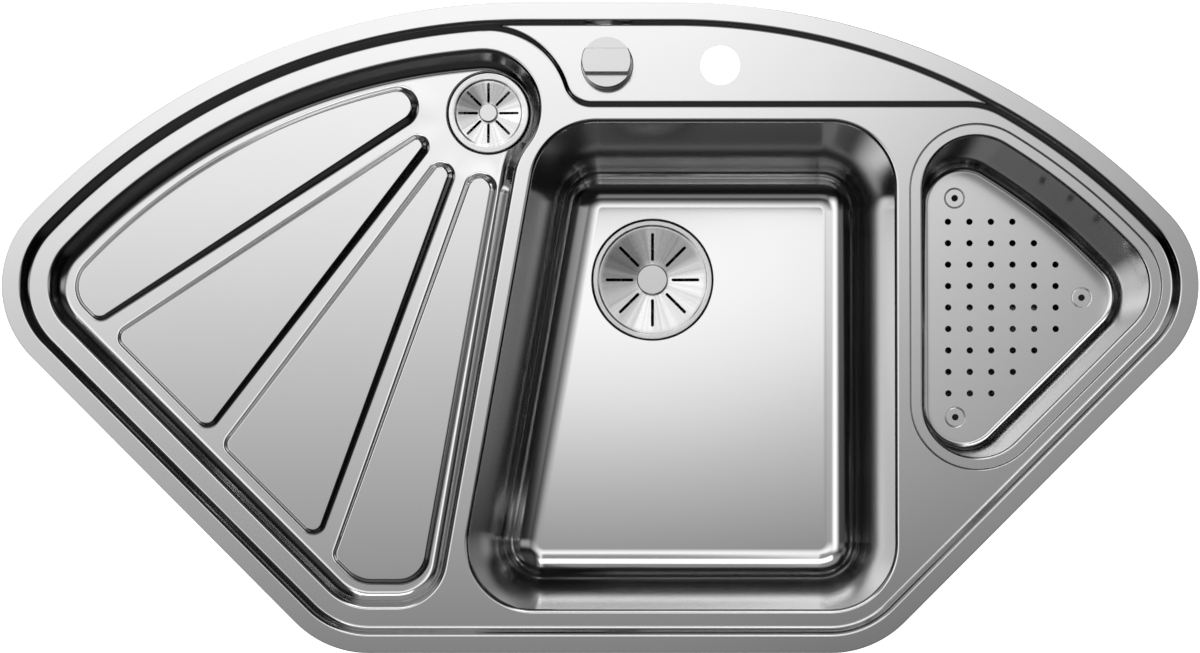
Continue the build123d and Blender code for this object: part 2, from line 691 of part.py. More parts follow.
def seat_pocket(diameter, floor_z, depth):
    """Round pocket with a 45 degree side, for a waste flange."""
    radius = diameter / 2 + SEAT_GAP
    rise = depth + SEAT_GAP
    return cone(radius, radius + rise, floor_z - depth, floor_z - depth + rise)


def drainer_pocket():
    """Steeper pocket, high enough to meet the wall of the tray's neck."""
    radius = DRAINER_FLANGE_DIAMETER / 2 + SEAT_GAP
    low = TRAY_FLOOR_Z - DRAINER_SEAT_DEPTH
    return cone(radius, radius + DRAINER_POCKET_SLOPE * DRAINER_POCKET_RISE, low, low + DRAINER_POCKET_RISE)


def deck_block():
    """Solid whose upper side is the upper side of the pressed sheet."""
    width = SINK_WIDTH + BLOCK_MARGIN
    depth = SINK_DEPTH + BLOCK_MARGIN
    height = RIM_TOP - BLOCK_BASE
    high = RIM_TOP + OVERCUT
    block = Pos(0, 0, BLOCK_BASE + height / 2) * Box(width, depth, height)
    block -= loft_between(
        OUTLINE, (-LEDGE_INSET, LEDGE_Z), ((high - LEDGE_Z) * STEP_SLOPE - LEDGE_INSET, high))
    block -= loft_between(FIELD, (0.0, FIELD_Z), ((LEDGE_Z - FIELD_Z) * STEP_SLOPE, LEDGE_Z))
    block -= tray_space()
    for loop in PADS:
        block += pad_solid(loop)
    block -= Pos(DRAINER_X, DRAINER_Y, 0) * drainer_pocket()
    block -= loft_between(
        SIDE, (0.0, SIDE_SEAT_Z), (2 * SIDE_SEAT_RUN, SIDE_SEAT_Z + 2 * SIDE_SEAT_DROP))
    return block


def draft_slope(draft):
    return math.tan(math.radians(draft))


def wall_space(loop, draft, top_z, low_z, grow=0.0):
    """Space inside a drafted wall that starts on a loop at top_z."""
    slope = draft_slope(draft)
    high = top_z + OVERCUT
    return loft_between(loop, ((low_z - top_z) * slope + grow, low_z), (OVERCUT * slope + grow, high))


def collar(loop, draft, top_z, band, mouth_round):
    """Wall turned down round a bowl opening, with a band of the flat sheet round it."""
    slope = draft_slope(draft)
    wall = loft_between(loop, ((COLLAR_Z - top_z) * slope + SHEET, COLLAR_Z), (SHEET, top_z))
    solid = wall + prism(loop, band, top_z - SHEET, top_z)
    solid = fillet(mouth_edges(solid, top_z - SHEET), mouth_round - SHEET)
    solid -= wall_space(loop, draft, top_z, COLLAR_Z - OVERCUT)
    return fillet(mouth_edges(solid, top_z), mouth_round)


def deck_sheet():
    """The whole pressed sheet, before it is parted at its seams."""
    block = deck_block()
    sheet = block - Pos(0, 0, -SHEET) * block
    sheet &= prism(OUTLINE, 0.0, BLOCK_BASE / 2, RIM_TOP + OVERCUT)
    sheet += prism(OUTLINE, 0.0, LIP_GAP, SEAL_HEIGHT) - prism(OUTLINE, -SHEET, 0.0, RIM_TOP)
    collars = (
        (BOWL, BOWL_DRAFT, FIELD_Z, MOUTH_BAND, MOUTH_ROUND),
        (SIDE_MOUTH, SIDE_DRAFT, SIDE_SEAT_Z, SIDE_MOUTH_BAND, SIDE_MOUTH_ROUND),
    )
    for loop, draft, top_z, band, mouth_round in collars:
        sheet -= prism(loop, band, COLLAR_Z, RIM_TOP)
        sheet += collar(loop, draft, top_z, band, mouth_round)
    sheet -= Pos(TAP_X, LEDGE_LINE_Y, 0) * disc(TAP_HOLE_DIAMETER / 2, -OVERCUT, OVERCUT)
    knob_hole = BARREL_DIAMETER / 2 + BARREL_HOLE_CLEARANCE
    sheet -= Pos(KNOB_X, LEDGE_LINE_Y, 0) * disc(knob_hole, -OVERCUT, OVERCUT)
    sheet -= Pos(DRAINER_X, DRAINER_Y, 0) * disc(DRAINER_HOLE_DIAMETER / 2, BLOCK_BASE / 2, RIM_TOP)
    return sheet


DECK_SHEET = deck_sheet()
PANEL_SPACE = prism(PANEL, 0.0, BLOCK_BASE / 2, RIM_TOP + OVERCUT)
TRAY_SPACE = prism(TRAY, TRAY_SEAM, BLOCK_BASE / 2, RIM_TOP + OVERCUT)


def sink_deck():
    """Rim, field and collars of the bowls."""
    return DECK_SHEET - PANEL_SPACE - TRAY_SPACE


def tap_panel():
    """Flat panel of the ledge with the holes for the tap and the knob, welded in flush."""
    return DECK_SHEET & PANEL_SPACE


def tray_pan():
    """Drainer tray with its pads, welded into the deck."""
    return DECK_SHEET & TRAY_SPACE


def rim_seal():
    """Flat seal between the rim and the worktop."""
    outer = prism(OUTLINE, -SEAL_INSET, 0.0, SEAL_HEIGHT)
    return outer - prism(OUTLINE, -SEAL_INSET - SEAL_WIDTH, -OVERCUT, RIM_TOP)


# Bowls

def bowl_shell(loop, draft, top_z, floor_z, floor_round, waste):
    """Pressed bowl below a collar. waste is (x, y, seat diameter, seat depth, hole diameter)."""
    x, y, seat, depth, hole = waste
    space = wall_space(loop, draft, top_z, floor_z)
    space = fillet(space.faces().sort_by(Axis.Z)[0].edges(), floor_round)
    space += Pos(x, y, 0) * seat_pocket(seat, floor_z, depth)
    slope = draft_slope(draft)
    low = floor_z - SHEET
    bottom = ((low - top_z) * slope + SHEET, low)
    shell = loft_between(loop, bottom, ((COLLAR_Z - top_z) * slope + SHEET, COLLAR_Z))
    shell = fillet(shell.faces().sort_by(Axis.Z)[0].edges(), floor_round + SHEET)
    bend = SHEET * (math.sqrt(2) - 1)
    shell += Pos(x, y, -SHEET) * seat_pocket(seat + 2 * bend, floor_z, depth)
    shell -= space
    return shell - Pos(x, y, 0) * disc(hole / 2, floor_z - 2 * OVERCUT, floor_z + OVERCUT)


def main_bowl():
    waste = (MAIN_WASTE_X, MAIN_WASTE_Y, MAIN_FLANGE_DIAMETER, MAIN_SEAT_DEPTH, MAIN_HOLE_DIAMETER)
    return bowl_shell(BOWL, BOWL_DRAFT, FIELD_Z, BOWL_FLOOR_Z, BOWL_FLOOR_ROUND, waste)


def side_bowl():
    waste = (SIDE_WASTE_X, SIDE_WASTE_Y, SIDE_GRID_DIAMETER, SIDE_GRID_SEAT_DEPTH, SIDE_HOLE_DIAMETER)
    return bowl_shell(SIDE_MOUTH, SIDE_DRAFT, SIDE_SEAT_Z, SIDE_FLOOR_Z, SIDE_FLOOR_ROUND, waste)


def sound_pad(length, width, x, y, floor_z):
    """Sound-deadening sheet stuck under a bowl's floor."""
    return Pos(x, y, floor_z - SHEET - SOUND_PAD_THICKNESS / 2) * Box(length, width, SOUND_PAD_THICKNESS)


def main_sound_pad():
    return sound_pad(MAIN_PAD_LENGTH, MAIN_PAD_WIDTH, MAIN_PAD_X, MAIN_PAD_Y, BOWL_FLOOR_Z)


def side_sound_pad():
    return sound_pad(SIDE_PAD_LENGTH, SIDE_PAD_WIDTH, SIDE_PAD_X, SIDE_PAD_Y, SIDE_FLOOR_Z)


# Colander

def hole_places():
    """Centres of the colander's holes: a square pattern inside a margin from its edge."""
    zone = loop_face(SIDE, -HOLE_MARGIN)
    places = []
    for row in range(HOLE_ROWS):
        y = HOLE_MIDDLE_Y + (row - (HOLE_ROWS - 1) / 2) * HOLE_PITCH
        for column in range(HOLE_COLUMNS):
            x = HOLE_FIRST_X + column * HOLE_PITCH
            if zone.is_inside(Vector(x, y, 0)):
                places.append((x, y))
    return places


def colander():
    low = COLANDER_FLOOR_Z
    inside = wall_space(SIDE, COLANDER_DRAFT, COLANDER_TOP_Z, low, -COLANDER_WALL_INSET)
    inside = fillet(inside.faces().sort_by(Axis.Z)[0].edges(), COLANDER_FLOOR_ROUND)
    slope = draft_slope(COLANDER_DRAFT)
    bottom = ((low - SHEET - COLANDER_TOP_Z) * slope + SHEET - COLANDER_WALL_INSET, low - SHEET)
    body = loft_between(SIDE, bottom, (SHEET - COLANDER_WALL_INSET, COLANDER_TOP_Z))
    body = fillet(body.faces().sort_by(Axis.Z)[0].edges(), COLANDER_FLOOR_ROUND + SHEET)
    body += prism(SIDE, -COLANDER_FLANGE_GAP, SIDE_SEAT_Z, COLANDER_TOP_Z)
    body -= inside
    body = fillet(mouth_edges(body, COLANDER_TOP_Z), COLANDER_MOUTH_ROUND)
    holes = [Pos(x, y, 0) * disc(HOLE_DIAMETER / 2, low - OVERCUT, low + OVERCUT)
             for x, y in hole_places()]
    holes += [Pos(x, y, 0) * disc(FOOT_STUD_DIAMETER / 2, low - OVERCUT, low + OVERCUT)
              for x, y in FOOT_PLACES]
    return body - holes


def colander_foot(place):
    """Round rubber foot with a stud through the colander's floor."""
    low = COLANDER_FLOOR_Z - SHEET - FOOT_HEIGHT
    foot = disc(FOOT_DIAMETER / 2, low, COLANDER_FLOOR_Z - SHEET)
    foot = fillet(edges_at(foot, low), SHEET)
    foot += disc(FOOT_STUD_DIAMETER / 2, low + SHEET, COLANDER_FLOOR_Z + FOOT_STUD_RISE)
    return Pos(*place, 0) * foot


# Strainers: a dished, slotted lid with a rolled rim, a round hub and a skirt below

def dish_height(radius, lid_z, rim_radius):
    return lid_z + STRAINER_RIM_HEIGHT - STRAINER_DISH_DROP - (rim_radius - radius) * STRAINER_SLOPE


def strainer_lid(lid_z, diameter, rim_width, hub_diameter, hub_seat, slot):
    """Lid of a strainer. slot is (start, end, width), with start and end as radii."""
    outer = diameter / 2
    inner = outer - rim_width
    flat = hub_diameter / 2 + hub_seat
    edge = dish_height(inner, lid_z, inner)
    middle = dish_height(flat, lid_z, inner)
    top = lid_z + STRAINER_RIM_HEIGHT
    lid = turned([
        (0, middle - STRAINER_SHEET), (flat, middle - STRAINER_SHEET), (inner, edge - STRAINER_SHEET),
        (inner, lid_z), (outer, lid_z), (outer, top), (inner, top), (inner, edge),
        (flat, middle), (0, middle),
    ])
    lid = fillet(edges_at(lid, top).sort_by(SortBy.LENGTH)[-1:], STRAINER_RIM_ROUND)
    start, end, width = slot
    shape = extrude(SlotOverall(end - start, width), STRAINER_RIM_HEIGHT + OVERCUT, both=True)
    step = 360 / STRAINER_SLOT_COUNT
    for k in range(STRAINER_SLOT_COUNT):
        lid -= Pos(0, 0, lid_z) * Rot(0, 0, k * step) * Pos((start + end) / 2, 0, 0) * shape
    return lid


def strainer_hub(lid_z, diameter, rim_width, hub_diameter, hub_seat, hub_height):
    """Round button in the middle of a strainer."""
    low = dish_height(hub_diameter / 2 + hub_seat, lid_z, diameter / 2 - rim_width)
    hub = disc(hub_diameter / 2, low, low + hub_height)
    return fillet(edges_at(hub, low + hub_height), HUB_ROUND)


def strainer_skirt(lid_z, diameter, rim_width, skirt_diameter, depth):
    """Short tube welded under a strainer's dish, trimmed to its slope."""
    rim_radius = diameter / 2 - rim_width
    outer = skirt_diameter / 2
    inner = outer - SKIRT_SHEET
    return turned([
        (inner, lid_z - depth), (outer, lid_z - depth),
        (outer, dish_height(outer, lid_z, rim_radius) - STRAINER_SHEET),
        (inner, dish_height(inner, lid_z, rim_radius) - STRAINER_SHEET),
    ])


def at_main(shape):
    return Pos(MAIN_WASTE_X, MAIN_WASTE_Y, 0) * shape


def at_drainer(shape):
    return Pos(DRAINER_X, DRAINER_Y, 0) * shape


def at_side(shape):
    return Pos(SIDE_WASTE_X, SIDE_WASTE_Y, 0) * shape


def at_knob(shape):
    return Pos(KNOB_X, LEDGE_LINE_Y, 0) * shape


def main_strainer():
    slot = (MAIN_SLOT_START, MAIN_SLOT_END, MAIN_SLOT_WIDTH)
    return at_main(strainer_lid(
        MAIN_LID_Z, MAIN_FLANGE_DIAMETER, MAIN_RIM_WIDTH, MAIN_HUB_DIAMETER, MAIN_HUB_SEAT, slot))


def main_strainer_hub():
    return at_main(strainer_hub(
        MAIN_LID_Z, MAIN_FLANGE_DIAMETER, MAIN_RIM_WIDTH, MAIN_HUB_DIAMETER, MAIN_HUB_SEAT,
        MAIN_HUB_HEIGHT))


def main_strainer_skirt():
    return at_main(strainer_skirt(
        MAIN_LID_Z, MAIN_FLANGE_DIAMETER, MAIN_RIM_WIDTH, MAIN_SKIRT_DIAMETER, MAIN_SKIRT_DEPTH))


def drainer_strainer():
    slot = (DRAINER_SLOT_START, DRAINER_SLOT_END, DRAINER_SLOT_WIDTH)
    return at_drainer(strainer_lid(
        DRAINER_LID_Z, DRAINER_FLANGE_DIAMETER, DRAINER_RIM_WIDTH, DRAINER_HUB_DIAMETER,
        DRAINER_HUB_SEAT, slot))


def drainer_strainer_hub():
    return at_drainer(strainer_hub(
        DRAINER_LID_Z, DRAINER_FLANGE_DIAMETER, DRAINER_RIM_WIDTH, DRAINER_HUB_DIAMETER,
        DRAINER_HUB_SEAT, DRAINER_HUB_HEIGHT))


def drainer_strainer_skirt():
    return at_drainer(strainer_skirt(
        DRAINER_LID_Z, DRAINER_FLANGE_DIAMETER, DRAINER_RIM_WIDTH, DRAINER_SKIRT_DIAMETER,
        DRAINER_SKIRT_DEPTH))


# Waste flanges, gaskets and bodies

def waste_cup(seat_z, flange_diameter, cup_diameter, depth):
    """Flange in a seat with a cup that hangs from it."""
    outer = cup_diameter / 2
    inner = outer - FLANGE_SHEET
    low = seat_z - depth
    top = seat_z + FLANGE_SHEET
    return turned([
        (0, low - FLANGE_SHEET), (outer, low - FLANGE_SHEET), (outer, seat_z),
        (flange_diameter / 2, seat_z), (flange_diameter / 2, top), (inner, top),
        (inner, low), (0, low),
    ])


def around(count, circle_diameter, shape):
    """Copies of a shape spread round the Z axis, the first on +X turned by half a step."""
    step = 360 / count
    return [Rot(0, 0, (k + 0.5) * step) * Pos(circle_diameter / 2, 0, 0) * shape
            for k in range(count)]


def main_flange():
    cup = waste_cup(MAIN_SEAT_Z, MAIN_FLANGE_DIAMETER, MAIN_CUP_DIAMETER, MAIN_CUP_DEPTH)
    low = MAIN_CUP_Z - OVERCUT
    cup -= disc(MAIN_PASSAGE_DIAMETER / 2, low, MAIN_CUP_Z + OVERCUT)
    hole = disc(FLANGE_SCREW_DIAMETER / 2 + FLANGE_SCREW_GAP, low, MAIN_CUP_Z + OVERCUT)
    return at_main(cup - around(FLANGE_SCREW_COUNT, FLANGE_SCREW_CIRCLE, hole))


def drainer_flange():
    cup = waste_cup(
        DRAINER_SEAT_Z, DRAINER_FLANGE_DIAMETER, DRAINER_CUP_DIAMETER, DRAINER_CUP_DEPTH)
    low = DRAINER_CUP_Z - OVERCUT
    cup -= disc(WASTE_SCREW_DIAMETER / 2, low, DRAINER_CUP_Z + OVERCUT)
    hole = disc(DRAINER_CUP_HOLE_DIAMETER / 2, low, DRAINER_CUP_Z + OVERCUT)
    return at_drainer(cup - around(DRAINER_CUP_HOLE_COUNT, DRAINER_CUP_HOLE_CIRCLE, hole))


def side_grid():
    """Perforated grid that closes the side bowl's waste."""
    high = GRID_Z + SIDE_GRID_SHEET
    grid = disc(SIDE_GRID_DIAMETER / 2, GRID_Z, high)
    grid -= disc(WASTE_SCREW_DIAMETER / 2, GRID_Z - OVERCUT, high + OVERCUT)
    hole = disc(GRID_HOLE_DIAMETER / 2, GRID_Z - OVERCUT, high + OVERCUT)
    for circle, count in zip(GRID_RING_DIAMETERS, GRID_RING_COUNTS):
        grid -= around(count, circle, hole)
    return at_side(grid)


def gasket(flange_diameter, hole_diameter, body_top):
    """Flat ring between the underside of a seat and a waste body."""
    return ring(
        flange_diameter / 2 - GASKET_GAP, hole_diameter / 2 + GASKET_GAP, body_top,
        body_top + GASKET_HEIGHT)


def main_gasket():
    return at_main(gasket(MAIN_FLANGE_DIAMETER, MAIN_HOLE_DIAMETER, MAIN_BODY_TOP))


def drainer_gasket():
    return at_drainer(gasket(DRAINER_FLANGE_DIAMETER, DRAINER_HOLE_DIAMETER, DRAINER_BODY_TOP))


def side_gasket():
    return at_side(gasket(
        SIDE_GRID_DIAMETER + 2 * GASKET_GAP, SIDE_HOLE_DIAMETER, SIDE_BODY_TOP))


def main_waste_body():
    """Cup under the main bowl with a side outlet, a pin guide and three screw bosses."""
    outer = MAIN_BODY_DIAMETER / 2
    inner = outer - BODY_WALL
    under = MAIN_BODY_FLOOR - BODY_WALL
    body = ring(MAIN_FLANGE_DIAMETER / 2, 0, MAIN_BODY_TOP - BODY_FLANGE_HEIGHT, MAIN_BODY_TOP)
    body += disc(outer, under, MAIN_BODY_TOP)
    socket = PIPE_DIAMETER / 2
    along = Pos(0, 0, PIPE_LEVEL) * Rot(0, 90, 0)
    body += along * disc(socket + SOCKET_WALL, 0, MAIN_PORT_REACH)
    body -= disc(inner, MAIN_BODY_FLOOR, MAIN_BODY_TOP + OVERCUT)
    body -= along * disc(socket - PIPE_WALL, 0, MAIN_PORT_REACH + OVERCUT)
    body -= along * disc(socket, MAIN_PORT_REACH - SOCKET_DEPTH, MAIN_PORT_REACH + OVERCUT)
    body += disc(GUIDE_DIAMETER / 2, MAIN_BODY_FLOOR, MAIN_BODY_FLOOR + GUIDE_HEIGHT)
    boss_top = MAIN_CUP_Z - FLANGE_SHEET
    boss = disc(FLANGE_BOSS_DIAMETER / 2, MAIN_BODY_FLOOR, boss_top)
    boss -= disc(FLANGE_SCREW_DIAMETER / 2, MAIN_CUP_Z - FLANGE_SCREW_LENGTH, boss_top + OVERCUT)
    body += around(FLANGE_SCREW_COUNT, FLANGE_SCREW_CIRCLE, boss)
    bore = PIN_DIAMETER / 2 + PIN_CLEARANCE
    return at_main(body - disc(bore, under - OVERCUT, MAIN_BODY_FLOOR + GUIDE_HEIGHT + OVERCUT))


def flange_screw(index):
    """Screw through the cup floor into a boss of the main waste body."""
    screw = disc(FLANGE_SCREW_DIAMETER / 2, MAIN_CUP_Z - FLANGE_SCREW_LENGTH, MAIN_CUP_Z)
    screw += disc(FLANGE_SCREW_HEAD_DIAMETER / 2, MAIN_CUP_Z, MAIN_CUP_Z + FLANGE_SCREW_HEAD_HEIGHT)
    return at_main(around(FLANGE_SCREW_COUNT, FLANGE_SCREW_CIRCLE, screw)[index])


def waste_bottle(top, flange_diameter, body_diameter, port_z, boss_top):
    """Small waste body with a bottom outlet, three ribs and a boss for the centre screw."""
    outer = body_diameter / 2
    inner = outer - BODY_WALL
    socket = PIPE_DIAMETER / 2
    port = socket + SOCKET_WALL
    bore = socket - PIPE_WALL
    step = port_z + SOCKET_DEPTH
    taper = step + TAPER_FOOT
    body = turned([
        (inner, top), (flange_diameter / 2, top), (flange_diameter / 2, top - BODY_FLANGE_HEIGHT),
        (outer, top - BODY_FLANGE_HEIGHT), (outer, taper + TAPER_HEIGHT), (port, taper),
        (port, port_z), (socket, port_z), (socket, step), (bore, step),
        (bore, taper), (inner, taper + TAPER_HEIGHT),
    ])
    low = boss_top - BOSS_HEIGHT
    length = inner + BODY_WALL / 2
    rib = Pos(length / 2, 0, low + RIB_HEIGHT / 2) * Box(length, RIB_WIDTH, RIB_HEIGHT)
    body += around(RIB_COUNT, 0.0, rib)
    body += disc(BOSS_DIAMETER / 2, low, boss_top)
    return body - disc(WASTE_SCREW_DIAMETER / 2, low - OVERCUT, boss_top + OVERCUT)


def drainer_waste_body():
    return at_drainer(waste_bottle(
        DRAINER_BODY_TOP, DRAINER_FLANGE_DIAMETER, DRAINER_BODY_DIAMETER, DRAINER_PORT_LEVEL,
        DRAINER_CUP_Z - FLANGE_SHEET))


def side_waste_body():
    return at_side(waste_bottle(
        SIDE_BODY_TOP, SIDE_GRID_DIAMETER + 2 * GASKET_GAP, SIDE_BODY_DIAMETER, SIDE_PORT_LEVEL,
        GRID_Z))


def centre_screw(seat_z, boss_top):
    """Screw from a waste's visible side down into the boss of its body."""
    screw = disc(WASTE_SCREW_DIAMETER / 2, boss_top - BOSS_HEIGHT, seat_z)
    return screw + disc(WASTE_SCREW_HEAD_DIAMETER / 2, seat_z, seat_z + WASTE_SCREW_HEAD_HEIGHT)


def drainer_screw():
    return at_drainer(centre_screw(DRAINER_CUP_Z, DRAINER_CUP_Z - FLANGE_SHEET))


def side_screw():
    return at_side(centre_screw(GRID_Z + SIDE_GRID_SHEET, GRID_Z))


# Plug, which the lift pin raises with the strainer

def main_plug():
    plug = disc(PLUG_DIAMETER / 2, PLUG_Z, PLUG_Z + PLUG_THICKNESS)
    return at_main(plug + disc(PLUG_BOSS_DIAMETER / 2, PLUG_BOSS_Z, PLUG_Z))


def plug_seal():
    outer = PLUG_SEAL_DIAMETER / 2
    return at_main(ring(outer, outer - PLUG_SEAL_WIDTH, MAIN_CUP_Z, PLUG_Z))


def plug_stem():
    top = dish_height(
        MAIN_HUB_DIAMETER / 2 + MAIN_HUB_SEAT, MAIN_LID_Z, MAIN_FLANGE_DIAMETER / 2 - MAIN_RIM_WIDTH)
    return at_main(disc(STEM_DIAMETER / 2, PLUG_Z + PLUG_THICKNESS, top - STRAINER_SHEET))


def lift_pin():
    pin = disc(PIN_DIAMETER / 2, PIN_FOOT_Z - PIN_FOOT_HEIGHT, PLUG_BOSS_Z)
    return at_main(pin + disc(PIN_FOOT_DIAMETER / 2, PIN_FOOT_Z - PIN_FOOT_HEIGHT, PIN_FOOT_Z))


def gland(start, level, angle):
    """Cable gland that points sideways: its outside and its bore."""
    turn = Pos(0, 0, level) * Rot(0, 0, angle) * Rot(0, 90, 0)
    outside = turn * disc(GLAND_DIAMETER / 2, start, start + GLAND_LENGTH)
    bore = turn * disc(GLAND_BORE / 2, start - OVERCUT, start + GLAND_LENGTH + OVERCUT)
    return outside, bore


def lift_housing():
    outer = LIFT_HOUSING_DIAMETER / 2
    inner = outer - LIFT_HOUSING_WALL
    middle = (LIFT_HOUSING_TOP + LIFT_HOUSING_BOTTOM) / 2
    outside, bore = gland(inner + LIFT_HOUSING_WALL / 2, middle, 90)
    housing = disc(outer, LIFT_HOUSING_BOTTOM, LIFT_HOUSING_TOP) + outside
    low = LIFT_HOUSING_BOTTOM + LIFT_HOUSING_WALL
    housing -= disc(inner, low, LIFT_HOUSING_TOP - LIFT_HOUSING_WALL)
    housing -= disc(PIN_DIAMETER / 2 + PIN_CLEARANCE, low, LIFT_HOUSING_TOP + OVERCUT)
    return at_main(housing - bore)


# Pipework

def tube(points, bend):
    """Waste pipe along straight runs and tangent bends."""
    path = FilletPolyline(*points, radius=bend) if len(points) > 2 else Polyline(*points)
    start = Plane(path @ 0, z_dir=path % 0)
    outer = sweep(start * Circle(PIPE_DIAMETER / 2), path)
    return outer - sweep(start * Circle(PIPE_DIAMETER / 2 - PIPE_WALL), path)


def pipe_main():
    start = MAIN_WASTE_X + MAIN_PORT_REACH - SOCKET_DEPTH
    end = JUNCTION_X - JUNCTION_REACH + SOCKET_DEPTH
    return tube([(x, MAIN_WASTE_Y, PIPE_LEVEL) for x in (start, end)], PIPE_BEND)


def pipe_drainer():
    end = MAIN_WASTE_Y + JUNCTION_REACH - SOCKET_DEPTH
    return tube([
        (DRAINER_X, DRAINER_Y, DRAINER_PORT_LEVEL + SOCKET_DEPTH),
        (DRAINER_X, DRAINER_Y, PIPE_LEVEL),
        (JUNCTION_X, DRAINER_Y, PIPE_LEVEL),
        (JUNCTION_X, end, PIPE_LEVEL),
    ], PIPE_BEND)


def pipe_side():
    end = JUNCTION_X + JUNCTION_REACH - SOCKET_DEPTH
    return tube([
        (SIDE_WASTE_X, SIDE_WASTE_Y, SIDE_PORT_LEVEL + SOCKET_DEPTH),
        (SIDE_WASTE_X, SIDE_WASTE_Y, PIPE_LEVEL),
        (SIDE_ELBOW_X, MAIN_WASTE_Y, PIPE_LEVEL),
        (end, MAIN_WASTE_Y, PIPE_LEVEL),
    ], PIPE_BEND)


def tailpipe():
    """Outlet pipe, with a slimmer neck where it enters the junction."""
    end = PIPE_LEVEL - JUNCTION_REACH
    shoulder = end - CONE_SEAL_HEIGHT - NUT_END
    bore = PIPE_DIAMETER / 2 - PIPE_WALL
    pipe = ring(PIPE_DIAMETER / 2 - NECK_CLEARANCE, bore, shoulder, end + SOCKET_DEPTH)
    pipe += ring(PIPE_DIAMETER / 2, bore, shoulder - OUTLET_LENGTH, shoulder)
    return Pos(JUNCTION_X, MAIN_WASTE_Y, 0) * pipe


JUNCTION_PORTS = (Rot(0, -90, 0), Rot(0, 90, 0), Rot(-90, 0, 0), Rot(180, 0, 0))


def outlet_junction():
    """Cross that takes the three branches and leads down to the outlet."""
    socket = PIPE_DIAMETER / 2
    outside = [turn * disc(socket + SOCKET_WALL, 0, JUNCTION_REACH) for turn in JUNCTION_PORTS]
    inside = [turn * disc(socket - PIPE_WALL, 0, JUNCTION_REACH + OVERCUT) for turn in JUNCTION_PORTS]
    inside += [turn * disc(socket, JUNCTION_REACH - SOCKET_DEPTH, JUNCTION_REACH + OVERCUT)
               for turn in JUNCTION_PORTS]
    body = outside[0].fuse(*outside[1:])
    return Pos(JUNCTION_X, MAIN_WASTE_Y, PIPE_LEVEL) * (body - inside)


def port_frames():
    """Places where a pipe enters a port, with Z pointing out of the port."""
    frames = [Pos(JUNCTION_X, MAIN_WASTE_Y, PIPE_LEVEL) * turn * Pos(0, 0, JUNCTION_REACH)
              for turn in JUNCTION_PORTS]
    frames.append(Pos(MAIN_WASTE_X + MAIN_PORT_REACH, MAIN_WASTE_Y, PIPE_LEVEL) * Rot(0, 90, 0))
    frames.append(Pos(DRAINER_X, DRAINER_Y, DRAINER_PORT_LEVEL) * Rot(180, 0, 0))
    frames.append(Pos(SIDE_WASTE_X, SIDE_WASTE_Y, SIDE_PORT_LEVEL) * Rot(180, 0, 0))
    return frames


def compression_nuts():
    thread = PIPE_DIAMETER / 2 + SOCKET_WALL
    nut = ring(NUT_DIAMETER / 2, thread, -NUT_GRIP, CONE_SEAL_HEIGHT)
    nut += ring(
        NUT_DIAMETER / 2, PIPE_DIAMETER / 2 + NUT_CLEARANCE, CONE_SEAL_HEIGHT,
        CONE_SEAL_HEIGHT + NUT_END)
    return Compound([frame * nut for frame in port_frames()])


def cone_seals():
    seal = ring(PIPE_DIAMETER / 2 + SOCKET_WALL, PIPE_DIAMETER / 2, 0, CONE_SEAL_HEIGHT)
    return Compound([frame * seal for frame in port_frames()])


# Control knob: the knob turns a drum that pulls the cable of the lift pin

def knob_base():
    bore = SHAFT_DIAMETER / 2 + SHAFT_CLEARANCE
    base = ring(KNOB_BASE_DIAMETER / 2, bore, LEDGE_Z, LEDGE_Z + KNOB_BASE_HEIGHT)
    top = edges_at(base, LEDGE_Z + KNOB_BASE_HEIGHT).sort_by(SortBy.LENGTH)[-1:]
    return at_knob(fillet(top, KNOB_EDGE_ROUND))


def control_knob():
    """Round cap with a raised grip across its middle."""
    knob = disc(KNOB_DIAMETER / 2, KNOB_FOOT, KNOB_TOP)
    low = KNOB_TOP - KNOB_GRIP_HEIGHT
    for side in (-1, 1):
        y = side * (KNOB_GRIP_WIDTH + KNOB_DIAMETER) / 2
        knob -= Pos(0, y, low + KNOB_DIAMETER / 2) * Box(2 * KNOB_DIAMETER, KNOB_DIAMETER, KNOB_DIAMETER)
    knob = fillet(edges_at(knob, KNOB_TOP), KNOB_EDGE_ROUND)
    knob -= disc(SHAFT_DIAMETER / 2, KNOB_FOOT - OVERCUT, KNOB_FOOT + SHAFT_SOCKET)
    return at_knob(knob)


def knob_shaft():
    return at_knob(disc(SHAFT_DIAMETER / 2, DRUM_Z, KNOB_FOOT + SHAFT_SOCKET))


def cable_drum():
    return at_knob(ring(DRUM_DIAMETER / 2, SHAFT_DIAMETER / 2, DRUM_Z, DRUM_Z + DRUM_HEIGHT))


def knob_housing():
    """Threaded barrel that passes through the tap ledge."""
    return at_knob(ring(BARREL_DIAMETER / 2, BARREL_BORE / 2, CASE_TOP, LEDGE_Z))


def knob_washer():
    top = LEDGE_Z - SHEET
    bore = BARREL_DIAMETER / 2 + BARREL_HOLE_CLEARANCE
    return at_knob(ring(KNOB_WASHER_DIAMETER / 2, bore, top - KNOB_WASHER_HEIGHT, top))


def knob_nut():
    top = LEDGE_Z - SHEET - KNOB_WASHER_HEIGHT
    hexagon = RegularPolygon(KNOB_NUT_ACROSS / 2, 6, major_radius=False)
    nut = Pos(0, 0, top - KNOB_NUT_HEIGHT) * extrude(hexagon, KNOB_NUT_HEIGHT)
    return at_knob(nut - disc(BARREL_DIAMETER / 2, top - KNOB_NUT_HEIGHT - OVERCUT, top + OVERCUT))


